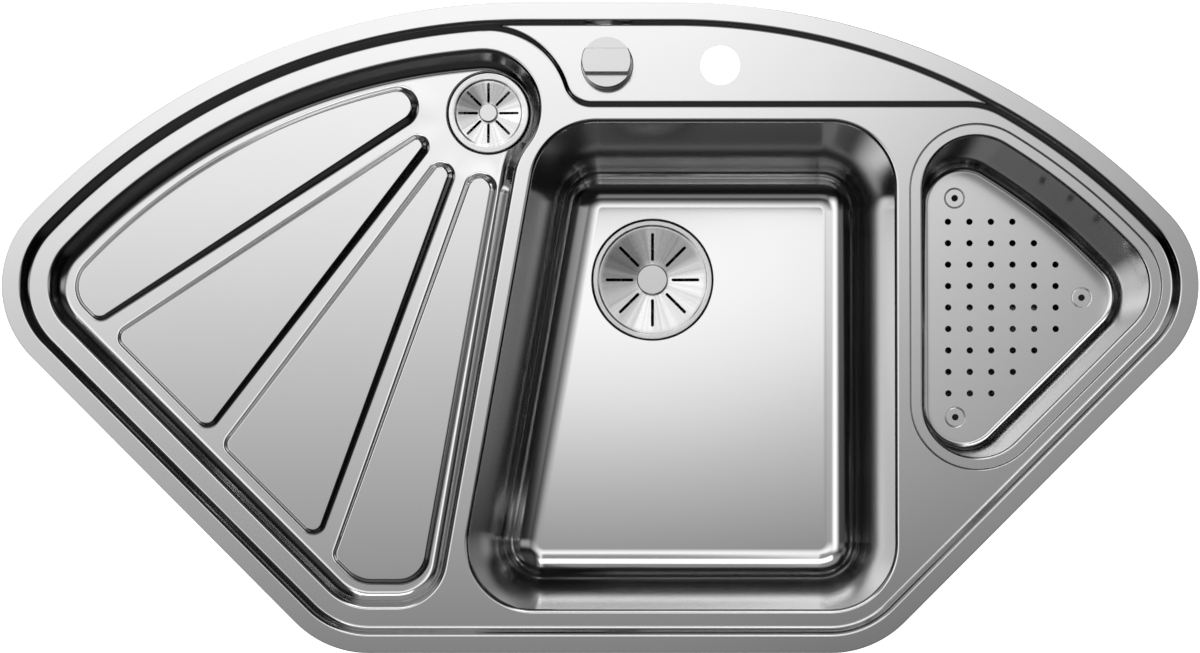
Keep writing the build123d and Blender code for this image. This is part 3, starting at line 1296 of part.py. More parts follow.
def cable_case():
    """Case of the drum, open below, with the gland of the cable on its side."""
    outer = CASE_DIAMETER / 2
    inner = outer - CASE_WALL
    outside, bore = gland(inner + CASE_WALL / 2, DRUM_Z + DRUM_HEIGHT / 2, 0)
    case = disc(outer, CASE_BOTTOM, CASE_TOP) + outside
    case -= disc(inner, CASE_BOTTOM - OVERCUT, CASE_TOP - CASE_WALL)
    case -= disc(SHAFT_DIAMETER / 2 + SHAFT_CLEARANCE, CASE_BOTTOM, CASE_TOP + OVERCUT)
    return at_knob(case - bore)


def cable_case_cover():
    return at_knob(disc(CASE_DIAMETER / 2, CASE_BOTTOM - CASE_WALL, CASE_BOTTOM))


# Clamps that hold the sink down in the worktop

def rim_frame(circle, angle):
    """Frame on the outline with +X pointing inwards, for a place on one of its arcs."""
    radians = math.radians(angle)
    x = circle[0] + circle[2] * math.cos(radians)
    y = circle[1] + circle[2] * math.sin(radians)
    return Pos(x, y, 0) * Rot(0, 0, angle + 180)


def field_clamps():
    """Frames of the clamps where the field, which is lower than the ledge, meets the rim."""
    front = [Pos(x, -SINK_DEPTH / 2, 0) * Rot(0, 0, 90) for x in (-FRONT_CLAMP_X, FRONT_CLAMP_X)]
    frames = front + [rim_frame(END_LEFT, 180), rim_frame(END_RIGHT, 0)]
    for end, front_corner, angle in ((END_LEFT, FRONT_LEFT, -135), (END_RIGHT, FRONT_RIGHT, -45)):
        middle_x = (end[0] + front_corner[0]) / 2
        middle_y = (end[1] + front_corner[1]) / 2
        middle = rim_frame((middle_x, middle_y, (end[2] + front_corner[2]) / 2), angle)
        frames += [middle * Pos(0, side * SIDE_CLAMP_SPACING / 2, 0) for side in (-1, 1)]
    frames += [rim_frame(BACK_LEFT, angle) for angle in BACK_LEFT_CLAMP_ANGLES]
    frames += [rim_frame(BACK_RIGHT, angle) for angle in BACK_RIGHT_CLAMP_ANGLES]
    return frames


def ledge_clamps():
    back = Pos(BACK_CLAMP_X, SINK_DEPTH / 2, 0) * Rot(0, 0, -90)
    return [back, rim_frame(BACK_RIGHT, LEDGE_CLAMP_ANGLE)]


SCREW_INSET = TAB_INSET + (TAB_SHEET + TAB_SHELF_WIDTH) / 2


def clamp_tab(top_z):
    """Angle welded under the deck, with a threaded hole in its shelf."""
    height = top_z - SHELF_Z
    plate = Pos(TAB_INSET + TAB_SHEET / 2, 0, SHELF_Z + height / 2) * Box(TAB_SHEET, TAB_WIDTH, height)
    shelf = Pos(TAB_INSET + TAB_SHELF_WIDTH / 2, 0, SHELF_Z + TAB_SHEET / 2) * Box(
        TAB_SHELF_WIDTH, TAB_WIDTH, TAB_SHEET)
    hole = disc(CLAMP_SCREW_DIAMETER / 2, SHELF_Z - OVERCUT, SHELF_Z + OVERCUT)
    return plate + shelf - Pos(SCREW_INSET, 0, 0) * hole


def clamp_tabs():
    low = [frame * clamp_tab(FIELD_Z - SHEET) for frame in field_clamps()]
    high = [frame * clamp_tab(LEDGE_Z - SHEET) for frame in ledge_clamps()]
    return Compound(low + high)


def clamp_claws():
    """Bars whose turned-up tips press against the underside of the worktop."""
    end = TAB_INSET + TAB_SHELF_WIDTH
    length = end - CLAMP_TIP_INSET
    bar = Pos(CLAMP_TIP_INSET + length / 2, 0, CLAW_TOP - CLAMP_SHEET / 2) * Box(
        length, CLAMP_WIDTH, CLAMP_SHEET)
    tip = Pos(CLAMP_TIP_INSET + CLAMP_TIP_WIDTH / 2, 0, CLAW_TOP + CLAMP_TIP_HEIGHT / 2) * Box(
        CLAMP_TIP_WIDTH, CLAMP_WIDTH, CLAMP_TIP_HEIGHT)
    hole = disc(CLAMP_SCREW_DIAMETER / 2 + CLAMP_SCREW_CLEARANCE, CLAW_BOTTOM - OVERCUT, CLAW_TOP + OVERCUT)
    claw = bar + tip - Pos(SCREW_INSET, 0, 0) * hole
    return Compound([frame * claw for frame in field_clamps() + ledge_clamps()])


def clamp_screws():
    screw = disc(CLAMP_SCREW_DIAMETER / 2, CLAW_BOTTOM, SHELF_Z + TAB_SHEET + CLAMP_SCREW_END)
    screw += disc(CLAMP_HEAD_DIAMETER / 2, CLAW_BOTTOM - CLAMP_HEAD_HEIGHT, CLAW_BOTTOM)
    screw = Pos(SCREW_INSET, 0, 0) * screw
    return Compound([frame * screw for frame in field_clamps() + ledge_clamps()])


def build_parts():
    """Every sub-part under its name."""
    builders = [
        sink_deck, tap_panel, tray_pan, rim_seal, main_bowl, side_bowl, main_sound_pad, side_sound_pad,
        colander,
        main_flange, main_gasket, main_waste_body, lift_housing, lift_pin,
        main_strainer, main_strainer_hub, main_strainer_skirt, main_plug, plug_seal, plug_stem,
        drainer_flange, drainer_gasket, drainer_waste_body, drainer_screw,
        drainer_strainer, drainer_strainer_hub, drainer_strainer_skirt,
        side_grid, side_gasket, side_waste_body, side_screw,
        pipe_main, pipe_drainer, pipe_side, tailpipe, outlet_junction, compression_nuts, cone_seals,
        knob_base, control_knob, knob_shaft, cable_drum, knob_housing, knob_washer, knob_nut,
        cable_case, cable_case_cover,
        clamp_tabs, clamp_claws, clamp_screws,
    ]
    parts = {builder.__name__: builder() for builder in builders}
    for number, place in enumerate(FOOT_PLACES, start=1):
        parts[f"colander_foot_{number}"] = colander_foot(place)
    for index in range(FLANGE_SCREW_COUNT):
        parts[f"main_waste_screw_{index + 1}"] = flange_screw(index)
    return parts


os.makedirs("parts", exist_ok=True)
for name, shape in build_parts().items():
    export_step(shape, f"parts/{name}.step")
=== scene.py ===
"""Looks of a corner kitchen sink in pressed stainless steel.

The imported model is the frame. The pressed sheets that show (deck, bowls, colander and strainers)
are built again here as smooth shells with rolled edges, and every other piece of the frame gets its
own material. Shapes are worked out in millimetres and turned to metres when a mesh is made.
"""

import json
import logging
import math
from dataclasses import dataclass
from enum import Enum
from typing import Callable, NamedTuple

import bpy
import numpy as np
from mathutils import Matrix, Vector
from mathutils.geometry import delaunay_2d_cdt


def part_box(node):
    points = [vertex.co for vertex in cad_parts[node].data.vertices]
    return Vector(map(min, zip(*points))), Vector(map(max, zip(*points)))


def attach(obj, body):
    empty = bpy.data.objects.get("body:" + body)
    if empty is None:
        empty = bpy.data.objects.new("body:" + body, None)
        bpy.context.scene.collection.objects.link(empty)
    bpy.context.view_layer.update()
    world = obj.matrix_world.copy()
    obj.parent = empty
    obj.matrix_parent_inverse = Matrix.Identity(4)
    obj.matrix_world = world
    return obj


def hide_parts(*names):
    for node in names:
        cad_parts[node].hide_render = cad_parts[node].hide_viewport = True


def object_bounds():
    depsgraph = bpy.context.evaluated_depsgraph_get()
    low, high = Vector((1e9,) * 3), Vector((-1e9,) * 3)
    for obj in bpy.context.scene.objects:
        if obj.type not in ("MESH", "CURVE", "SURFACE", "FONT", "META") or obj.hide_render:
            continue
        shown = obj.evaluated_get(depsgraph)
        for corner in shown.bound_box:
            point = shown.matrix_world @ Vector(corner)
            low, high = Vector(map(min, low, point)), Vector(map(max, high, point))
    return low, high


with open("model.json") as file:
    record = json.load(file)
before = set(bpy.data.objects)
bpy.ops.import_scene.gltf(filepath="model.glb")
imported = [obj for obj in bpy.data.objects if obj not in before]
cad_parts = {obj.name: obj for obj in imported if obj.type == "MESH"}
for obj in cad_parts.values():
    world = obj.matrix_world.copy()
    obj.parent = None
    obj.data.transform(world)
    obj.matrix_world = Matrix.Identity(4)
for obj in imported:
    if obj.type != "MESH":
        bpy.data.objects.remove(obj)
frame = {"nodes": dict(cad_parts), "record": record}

log = logging.getLogger("sink")

MM = 0.001
SHORTEST = 0.01     # a straight or a gap below this many millimetres is left out
NEARLY = 1e-6       # slack in comparisons of angles and lengths
HAIR = 0.0005       # half the distance, in millimetres, between the two circles of a round loop
SNAP = 0.004        # plan points nearer than this many millimetres become one
WELD = 0.02         # grid in millimetres on which the seams between patches meet
SLIVER = 2e-4       # twice a sliver's area is less than this share of its longest side squared
TINY = 1e-9         # keeps a length from being zero
NOISE_LOW, NOISE_HIGH = 0.3, 0.7    # most of a noise lies between these
Array = np.ndarray
CAD_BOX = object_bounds()


def box_mm(node: str) -> tuple[Array, Array]:
    """Lowest and highest corner of a frame node, in millimetres."""
    low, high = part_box(node)
    return np.array(low) / MM, np.array(high) / MM


def centre_mm(node: str) -> Array:
    """Middle of a frame node's box, in millimetres."""
    low, high = box_mm(node)
    return (low + high) / 2


def radii(points: Array, centre: Array) -> Array:
    """Distance of each plan point from a centre, or from its own partner."""
    return np.hypot(*(points - centre).T)


def stepped(first: float, last: float, step: float) -> list[float]:
    """Even steps from the first value to the last, both included."""
    return [round(first + step * k, 3) for k in range(round((last - first) / step) + 1)]


# Outlines: loops of circles joined by common tangents


class Circle(NamedTuple):
    """Circle of a loop, in millimetres. A negative radius is a hollow bend."""

    x: float
    y: float
    r: float

    def shrunk(self, inset: float) -> "Circle":
        """Same centre with a smaller radius."""
        return Circle(self.x, self.y, self.r - inset)

    def touched(self, normal: Array) -> Array:
        """Point, or points, of the circle in the direction of a unit normal."""
        return np.array([self.x, self.y]) + self.r * normal


def shared_normal(first: Circle, second: Circle) -> Array:
    """Outward normal of the common tangent from one circle to the next.

    Args:
        first: circle that the loop leaves.
        second: circle that the loop reaches.

    Returns:
        Unit vector in the plan.
    """
    span = np.array([second.x - first.x, second.y - first.y])
    length = float(np.hypot(*span))
    decimals = 12    # so that circles that touch exactly still have a tangent
    along = max(-1.0, min(1.0, round((first.r - second.r) / length, decimals)))
    across = math.sqrt(1.0 - along ** 2)
    return (along * span + across * np.array([span[1], -span[0]])) / length


class Trace(NamedTuple):
    """Points along a closed curve with their outward normals."""

    points: Array
    normals: Array

    def grown(self, offset: float) -> Array:
        """Points of the curve moved outwards."""
        return self.points + self.normals * offset


class Loop:
    """Closed smooth outline through circles, taken anticlockwise."""

    def __init__(self, circles: list[Circle]) -> None:
        """Works out the tangents between the circles."""
        self.circles = circles
        following = circles[1:] + circles[:1]
        self.tangents = [shared_normal(a, b) for a, b in zip(circles, following)]

    def arcs(self) -> list[tuple[Circle, float, float]]:
        """Each circle with the start angle and the turn of its arc, in radians."""
        result = []
        for i, circle in enumerate(self.circles):
            start = math.atan2(self.tangents[i - 1][1], self.tangents[i - 1][0])
            end = math.atan2(self.tangents[i][1], self.tangents[i][0])
            turn = (end - start) % (2 * math.pi)
            if circle.r < 0:
                turn -= 2 * math.pi
            result.append((circle, start, turn))
        return result

    def arrival(self, i: int) -> Array:
        """Point where the straight after a circle reaches the next circle."""
        return self.circles[(i + 1) % len(self.circles)].touched(self.tangents[i])

    def trace(self, spacing: float, turn_step: float = 5.0) -> Trace:
        """Samples the loop.

        Args:
            spacing: longest step along an arc, in millimetres. Straights have steps of up to three.
            turn_step: largest turn of one step, in degrees.

        Returns:
            Points and normals, anticlockwise.
        """
        points, normals = [], []
        for i, (circle, start, turn) in enumerate(self.arcs()):
            steps = max(1, math.ceil(abs(turn) / math.radians(turn_step)),
                        math.ceil(abs(turn * circle.r) / spacing))
            angles = start + turn * np.arange(steps + 1) / steps
            unit = np.stack([np.cos(angles), np.sin(angles)], 1)
            points.extend(circle.touched(unit))
            normals.extend(unit)
            leave, arrive = points[-1], self.arrival(i)
            length = float(np.hypot(*(arrive - leave)))
            inner = math.ceil(length / (3 * spacing)) if length > SHORTEST else 0
            for k in range(1, inner):
                points.append(leave + (arrive - leave) * k / inner)
                normals.append(self.tangents[i])
        points, normals = np.array(points), np.array(normals)
        apart = radii(points, np.roll(points, 1, 0)) > SHORTEST
        return Trace(points[apart], normals[apart])

    def distance(self, points: Array) -> Array:
        """Outward distance of each point from the loop, negative inside."""
        best = np.full(len(points), np.inf)
        for i, (circle, start, turn) in enumerate(self.arcs()):
            sign = math.copysign(1.0, circle.r)
            offset = (points - np.array([circle.x, circle.y])) * sign
            angle = np.arctan2(offset[:, 1], offset[:, 0])
            past = ((angle - start) * math.copysign(1.0, turn)) % (2 * math.pi)
            reach = (np.hypot(offset[:, 0], offset[:, 1]) - abs(circle.r)) * sign
            reach = np.where(past <= abs(turn) + NEARLY, reach, np.inf)
            best = np.where(np.abs(reach) < np.abs(best), reach, best)
            leave, arrive = circle.touched(self.tangents[i]), self.arrival(i)
            length = float(np.hypot(*(arrive - leave)))
            if length > SHORTEST:
                along = (points - leave) @ ((arrive - leave) / length)
                reach = (points - leave) @ self.tangents[i]
                reach = np.where((along >= -NEARLY) & (along <= length + NEARLY), reach, np.inf)
                best = np.where(np.abs(reach) < np.abs(best), reach, best)
        return best


def ring_loop(x: float, y: float, radius: float) -> Loop:
    """Round loop, made of two equal circles a hair apart."""
    return Loop([Circle(x - HAIR, y, radius), Circle(x + HAIR, y, radius)])


def clear_of(loops: list[Loop], points: Array) -> Array:
    """Tells which plan points lie outside every one of the loops."""
    return np.all([loop.distance(points) > 0.0 for loop in loops], axis=0)


# Lines that bound the tray, its pads and the bowls


class Side(NamedTuple):
    """Straight side: unit normal pointing out and its distance from the origin."""

    nx: float
    ny: float
    c: float

    def inset(self, distance: float) -> "Side":
        """Same side moved inwards."""
        return Side(self.nx, self.ny, self.c - distance)


def side_through(angle: float, x: float, y: float) -> Side:
    """Side along a direction in radians through a point, with its normal on the right."""
    nx, ny = math.sin(angle), -math.cos(angle)
    return Side(nx, ny, nx * x + ny * y)


def corner(first: Side, second: Side, radius: float) -> Circle:
    """Circle of a radius that touches two sides from inside."""
    p, q = first.c - radius, second.c - radius
    det = first.nx * second.ny - first.ny * second.nx
    return Circle((p * second.ny - first.ny * q) / det, (first.nx * q - p * second.nx) / det,
                  radius)


def y_inside(circle: Circle, radius: float, x: float) -> float:
    """Upper centre height at x of a circle that touches a larger one from inside."""
    return circle.y + math.sqrt((circle.r - radius) ** 2 - (x - circle.x) ** 2)


@dataclass
class SinkPlan:
    """Plan of the sink: every outline, from the driving sizes, in millimetres.

    lean is the sideways run of the drainer's right side for each millimetre towards the back. A
    groove has its direction in degrees and its distance from the middle of the drainer's waste.
    """

    back_flat: float = 131.0
    back_radius: float = 602.0
    end_radius: float = 90.0
    front_radius: float = 92.0
    foot_inset: float = 22.0
    ledge_front: float = 196.3
    drainer_x: float = -100.5
    drainer_round: float = 72.0
    ledge_bend: float = 25.0
    ledge_end: float = 60.0
    tray_inset: float = 40.0
    tray_corner: float = 44.0
    neck_x: float = -104.5
    neck_radius: float = 51.5
    neck_bend: float = 60.0
    tray_side_x: float = -99.5
    lean: float = 0.175
    pad_inset: float = 24.0
    pad_side_inset: float = 20.0
    pad_corner: float = 8.0
    pad_front: float = 24.0
    pad_tips: tuple[float, ...] = (13.0, 5.0, 6.7, 9.5)
    groove_width: float = 21.0
    grooves: tuple[tuple[float, float], ...] = ((33.4, 25.5), (52.8, 17.0), (70.2, 3.6))
    bowl_back: float = 182.0
    bowl_front: float = -249.5
    bowl_right: float = 260.8
    bowl_left: float = -84.0
    bowl_corner: float = 58.0
    side_inset: float = 32.0
    side_left: float = 274.8
    side_corner: float = 58.5
    side_seat: float = 7.5

    def __post_init__(self) -> None:
        """Works out all loops from the size of the deck in the frame."""
        low, high = box_mm("sink_deck")
        self.width, self.depth = high[0] - low[0], high[1] - low[1]
        self.outline = Loop(self.outline_circles())
        self.drainer_y = y_inside(
            self.back_left.shrunk(self.foot_inset), self.drainer_round, self.drainer_x)
        self.field = Loop(self.field_circles())
        self.lean_angle = math.atan2(1.0, self.lean)
        self.tray_side = side_through(self.lean_angle, self.tray_side_x, 0.0)
        self.front_side = side_through(0.0, 0.0, -self.depth / 2)
        self.tray = Loop(self.tray_circles())
        self.pads = [Loop(circles) for circles in self.pad_circles()]
        self.bowl = Loop(self.bowl_circles())
        self.side = Loop(self.side_circles())
        self.side_mouth = Loop([c.shrunk(self.side_seat) for c in self.side.circles])

    def outline_circles(self) -> list[Circle]:
        """Outer edge of the rim."""
        back_x = self.back_flat / 2
        back_y = self.depth / 2 - self.back_radius
        self.back_right = Circle(back_x, back_y, self.back_radius)
        end_x = self.width / 2 - self.end_radius
        end_y = y_inside(self.back_right, self.end_radius, end_x)
        front_y = self.front_radius - self.depth / 2
        front_x = end_x - end_y + front_y + math.sqrt(2) * (self.end_radius - self.front_radius)
        self.back_left = Circle(-back_x, back_y, self.back_radius)
        self.end_left = Circle(-end_x, end_y, self.end_radius)
        self.end_right = Circle(end_x, end_y, self.end_radius)
        self.front_left = Circle(-front_x, front_y, self.front_radius)
        self.front_right = Circle(front_x, front_y, self.front_radius)
        return [self.back_left, self.end_left, self.front_left,
                self.front_right, self.end_right, self.back_right]

    def field_circles(self) -> list[Circle]:
        """Foot of the step round the field."""
        right = self.back_right.shrunk(self.foot_inset)
        end_y = self.ledge_front - self.ledge_end
        end_x = right.x + math.sqrt((right.r - self.ledge_end) ** 2 - (end_y - right.y) ** 2)
        bend_y = self.ledge_front + self.ledge_bend
        span = self.drainer_round + self.ledge_bend
        bend_x = self.drainer_x + math.sqrt(span ** 2 - (bend_y - self.drainer_y) ** 2)
        rim = [circle.shrunk(self.foot_inset) for circle in self.outline.circles]
        return rim + [Circle(end_x, end_y, self.ledge_end),
                      Circle(bend_x, bend_y, -self.ledge_bend),
                      Circle(self.drainer_x, self.drainer_y, self.drainer_round)]

    def tray_circles(self) -> list[Circle]:
        """Mouth of the drainer tray."""
        back = self.back_left.shrunk(self.tray_inset)
        neck = Circle(self.neck_x, y_inside(back, self.neck_radius, self.neck_x), self.neck_radius)
        side = self.tray_side
        across = side.c + self.neck_bend - side.nx * neck.x - side.ny * neck.y
        along = math.sqrt((self.neck_radius + self.neck_bend) ** 2 - across ** 2)
        bend = Circle(neck.x + across * side.nx + along * side.ny,
                      neck.y + across * side.ny - along * side.nx, -self.neck_bend)
        left = [circle.shrunk(self.tray_inset) for circle in (self.end_left, self.front_left)]
        return [back, *left,
                corner(self.front_side.inset(self.tray_inset), side, self.tray_corner), bend, neck]

    def pad_circles(self) -> list[list[Circle]]:
        """Top edges of the four raised pads."""
        inset = self.tray_inset + self.pad_inset
        back = self.back_left.shrunk(inset)
        root = self.end_left.r / math.sqrt(2)
        diagonal = side_through(
            -math.pi / 4, self.end_left.x - root, self.end_left.y - root).inset(inset)
        above, below = [], []
        for degrees, offset in self.grooves:
            side = side_through(math.radians(degrees), self.drainer_x, self.drainer_y).inset(offset)
            above.append(side.inset(self.groove_width / 2))
            below.append(Side(-side.nx, -side.ny, -side.c - self.groove_width / 2))
        tip = self.pad_tips[0]
        first = above[0]
        gap = first.c - tip - first.nx * back.x - first.ny * back.y
        along = math.sqrt((back.r - tip) ** 2 - gap ** 2)
        top = Circle(back.x + gap * first.nx - along * first.ny,
                     back.y + gap * first.ny + along * first.nx, tip)
        loops = [[back, self.end_left.shrunk(inset), corner(diagonal, first, self.pad_corner), top]]
        for left, right, tip in zip(below, above[1:], self.pad_tips[1:]):
            loops.append([corner(left, diagonal, self.pad_corner),
                          corner(diagonal, right, self.pad_corner), corner(right, left, tip)])
        last = self.tray_side.inset(self.pad_side_inset)
        loops.append([corner(below[-1], diagonal, self.pad_corner), self.front_left.shrunk(inset),
                      corner(self.front_side.inset(inset), last, self.pad_front),
                      corner(last, below[-1], self.pad_tips[-1])])
        return loops

    def bowl_circles(self) -> list[Circle]:
        """Mouth of the main bowl."""
        sides = [side_through(math.pi, 0.0, self.bowl_back),
                 side_through(self.lean_angle + math.pi, self.bowl_left, 0.0),
                 side_through(0.0, 0.0, self.bowl_front),
                 side_through(math.pi / 2, self.bowl_right, 0.0)]
        return [corner(a, b, self.bowl_corner) for a, b in zip(sides, sides[1:] + sides[:1])]

    def side_circles(self) -> list[Circle]:
        """Edge of the recess in which the colander's flange lies."""
        back = self.back_right.shrunk(self.side_inset)
        end = self.end_right.shrunk(self.side_inset)
        x = self.side_left + self.side_corner
        front_y = x - end.x + end.y + math.sqrt(2) * (self.side_corner - end.r)
        return [Circle(x, y_inside(back, self.side_corner, x), self.side_corner),
                Circle(x, front_y, self.side_corner), end, back]


# Heights


def soft_max(a: Array, b: Array, blend: float) -> Array:
    """Greater of two heights, rounded where they cross, over a height of blend."""
    share = np.clip(0.5 + (a - b) / (2 * blend), 0.0, 1.0)
    return b + (a - b) * share + blend * share * (1 - share)


def soft_min(a: Array, b: Array, blend: float) -> Array:
    """Lesser of two heights, rounded where they cross, over a height of blend."""
    return -soft_max(-np.asarray(a), -np.asarray(b), blend)


HeightField = Callable[[Array], Array]


def slopes(height: HeightField, points: Array) -> Array:
    """Unit surface normals of a height field, from small differences."""
    step = 0.02    # in millimetres
    east = height(points + [step, 0.0]) - height(points - [step, 0.0])
    north = height(points + [0.0, step]) - height(points - [0.0, step])
    normals = np.stack([-east, -north, np.full(len(points), 2 * step)], 1)
    return normals / np.linalg.norm(normals, axis=1, keepdims=True)


# Profiles swept round a loop


class Station(NamedTuple):
    """Point of a profile: offset from the loop, height, and the surface normal in that plane."""

    offset: float
    height: float
    out: float
    up: float

    def moved(self, distance: float) -> "Station":
        """Same station further out."""
        return Station(self.offset + distance, self.height, self.out, self.up)


def arc_stations(offset: float, height: float, radius: float, start: float, end: float,
                 steps: int, hollow: bool = False) -> list[Station]:
    """Stations along an arc of a profile.

    Args:
        offset: place of the arc's centre, outwards from the loop.
        height: height of the arc's centre.
        radius: radius of the arc.
        start: first angle in degrees, with 0 outwards and 90 up.
        end: last angle in degrees.
        steps: number of steps.
        hollow: whether the surface faces the centre.

    Returns:
        Stations from start to end.
    """
    sign = -1.0 if hollow else 1.0
    result = []
    for k in range(steps + 1):
        angle = math.radians(start + (end - start) * k / steps)
        out, up = math.cos(angle), math.sin(angle)
        result.append(Station(offset + radius * out, height + radius * up, sign * out, sign * up))
    return result


def mouth_profile(top: float, low: float, radius: float, draft: float,
                  steps: int = 9) -> list[Station]:
    """Rounded mouth of an opening and the wall below it, inwards and down."""
    half = math.tan(math.radians((90 - draft) / 2)) * radius
    stations = arc_stations(half, top - radius, radius, 90, 180 - draft, steps)
    run = (low - top) * math.tan(math.radians(draft))
    lean = math.radians(draft)
    return stations + [Station(run, low, -math.cos(lean), math.sin(lean))]


def bottom_profile(top: float, start: float, floor: float, radius: float, draft: float,
                   inset: float = 0.0, steps: int = 14) -> list[Station]:
    """Wall from a start height down to the flat floor, with a rounded foot.

    The wall meets the loop, less the inset, at the top height, and leans in by the draft.
    """
    spans = 6
    lean = math.radians(draft)
    wall = Station((start - top) * math.tan(lean) - inset, start, -math.cos(lean), math.sin(lean))
    foot = (floor - top) * math.tan(lean) - inset
    reach = math.tan(math.radians((90 - draft) / 2)) * radius
    round_foot = arc_stations(foot - reach, floor + radius, radius, -draft, -90, steps, hollow=True)
    middle = [Station(wall.offset + (round_foot[0].offset - wall.offset) * k / spans,
                      start + (round_foot[0].height - start) * k / spans, wall.out, wall.up)
              for k in range(1, spans)]
    return [wall] + middle + round_foot


def doubled_areas(plan: Array, faces: Array) -> Array:
    """Twice the area of each triangle, positive where its points run anticlockwise."""
    a, b, c = (plan[faces[:, k]] for k in range(3))
    return (b[:, 0] - a[:, 0]) * (c[:, 1] - a[:, 1]) - (b[:, 1] - a[:, 1]) * (c[:, 0] - a[:, 0])


def add_object(name: str, data: bpy.types.ID) -> bpy.types.Object:
    """New object in the scene with its data."""
    made = bpy.data.objects.new(name, data)
    bpy.context.scene.collection.objects.link(made)
    return made


class Surface:
    """Open skin that grows patch by patch, then turns into a sheet with a thickness."""

    def __init__(self) -> None:
        """Starts with no patch."""
        self.verts: list[Array] = []
        self.normals: list[Array] = []
        self.faces: list[tuple[int, ...]] = []
        self.count = 0

    def add(self, verts: Array, normals: Array, faces: list[tuple[int, ...]]) -> None:
        """Adds a patch of vertices, their normals and its faces."""
        self.faces.extend(tuple(i + self.count for i in face) for face in faces)
        self.verts.append(verts)
        self.normals.append(normals)
        self.count += len(verts)

    def sweep(self, trace: Trace, stations: list[Station]) -> None:
        """Sweeps a profile round a loop. Stations run so that the outside lies on their left."""
        n = len(trace.points)
        verts, normals = [], []
        for s in stations:
            plan = trace.grown(s.offset)
            verts.append(np.column_stack([plan, np.full(n, s.height)]))
            normals.append(np.column_stack([trace.normals * s.out, np.full(n, s.up)]))
        faces = []
        for k in range(len(stations) - 1):
            for i in range(n):
                j = (i + 1) % n
                faces.append((k * n + i, k * n + j, (k + 1) * n + j, (k + 1) * n + i))
        self.add(np.concatenate(verts), np.concatenate(normals), faces)

    def fill(self, contours: list[Array], height: HeightField, keep: Callable[[Array], Array],
             fall: HeightField | None = None, loose: Array | None = None) -> None:
        """Fills a region with triangles that follow its contours.

        Args:
            contours: closed lines of plan points that edges have to follow.
            height: height at plan points.
            keep: tells which plan points lie in the region.
            fall: slight extra fall of the surface normals alone: in the shading, not the shape.
            loose: more plan points to use, on no contour.
        """
        points = np.concatenate(contours + ([] if loose is None else [loose]))
        edges, start = [], 0
        for line in contours:
            n = len(line)
            edges.extend((start + i, start + (i + 1) % n) for i in range(n))
            start += n
        made = delaunay_2d_cdt([Vector(p) for p in points.tolist()], edges, [], 0, SNAP)
        plan = np.array([tuple(v) for v in made[0]])
        faces = np.array([tuple(f) for f in made[2]])
        faces = faces[self.settled(plan, faces, keep(plan[faces].mean(1)))]
        faces = np.where((doubled_areas(plan, faces) < 0)[:, None], faces[:, ::-1], faces)
        used = np.unique(faces)
        index = np.full(len(plan), -1)
        index[used] = np.arange(len(used))
        plan = plan[used]
        verts = np.column_stack([plan, height(plan)])
        mirror = height if fall is None else lambda p: height(p) + fall(p)
        self.add(verts, slopes(mirror, plan), [tuple(f) for f in index[faces].tolist()])

    @staticmethod
    def settled(plan: Array, faces: Array, kept: Array) -> Array:
        """Settles the slivers on straight edges, whose middles lie neither in nor out.

        Args:
            plan: plan points.
            faces: triangles as rows of point numbers.
            kept: which triangles have their middle in the region.

        Returns:
            Which triangles to keep: a sliver only when a kept one lies on its longest side.
        """
        pairs = np.sort(np.stack([faces, np.roll(faces, -1, 1)], 2), 2)
        length = np.linalg.norm(plan[pairs[:, :, 0]] - plan[pairs[:, :, 1]], axis=2)
        sliver = np.abs(doubled_areas(plan, faces)) < SLIVER * length.max(1) ** 2
        longest = pairs[np.arange(len(faces)), length.argmax(1)]
        kept = kept & ~sliver
        held = {tuple(pair) for pair in pairs[kept].reshape(-1, 2).tolist()}
        waiting = [int(k) for k in np.flatnonzero(sliver)]
        joined = waiting
        while joined:
            joined = [k for k in waiting if tuple(longest[k].tolist()) in held]
            waiting = [k for k in waiting if k not in joined]
            for k in joined:
                kept[k] = True
                held.update(tuple(pair) for pair in pairs[k].tolist())
        return kept

    def welded(self) -> tuple[Array, Array, list[tuple[int, ...]]]:
        """Vertices, normals and faces with the seams between patches joined."""
        verts = np.concatenate(self.verts)
        normals = np.concatenate(self.normals)
        keys = np.round(verts / WELD).astype(np.int64)
        _, first, inverse = np.unique(keys, axis=0, return_index=True, return_inverse=True)
        inverse = inverse.reshape(-1)
        faces = []
        for face in self.faces:
            ring = [int(inverse[i]) for i in face]
            ring = [v for k, v in enumerate(ring) if v != ring[k - 1]]
            if len(ring) >= 3:
                faces.append(tuple(ring))
        return verts[first], normals[first], faces

    def sheet(self, name: str, thickness: float) -> bpy.types.Object:
        """Makes a closed sheet object from the skin.

        Args:
            name: name of the object.
            thickness: sheet thickness in millimetres, on the side away from the normals.

        Returns:
            Mesh object with its own smooth normals, in metres.
        """
        verts, normals, faces = self.welded()
        normals = normals / np.linalg.norm(normals, axis=1, keepdims=True)
        n = len(verts)
        both = np.concatenate([verts, verts - normals * thickness])
        edges = dict.fromkeys(edge for face in faces for edge in zip(face, face[1:] + face[:1]))
        all_faces = faces + [tuple(v + n for v in reversed(face)) for face in faces]
        all_normals = np.concatenate([normals, -normals])
        loop_normals = [all_normals[v] for face in all_faces for v in face]
        for a, b in edges:
            if (b, a) not in edges:
                wall = (b, a, a + n, b + n)
                across = np.cross(both[a] - both[b], both[a + n] - both[a])
                across = across / max(float(np.linalg.norm(across)), TINY)
                all_faces.append(wall)
                loop_normals.extend([across] * 4)
        mesh = bpy.data.meshes.new(name)
        mesh.from_pydata((both * MM).tolist(), [], all_faces)
        mesh.polygons.foreach_set("use_smooth", [True] * len(mesh.polygons))
        mesh.normals_split_custom_set([tuple(v) for v in loop_normals])
        mesh.update()
        return add_object(name, mesh)


# Finishes


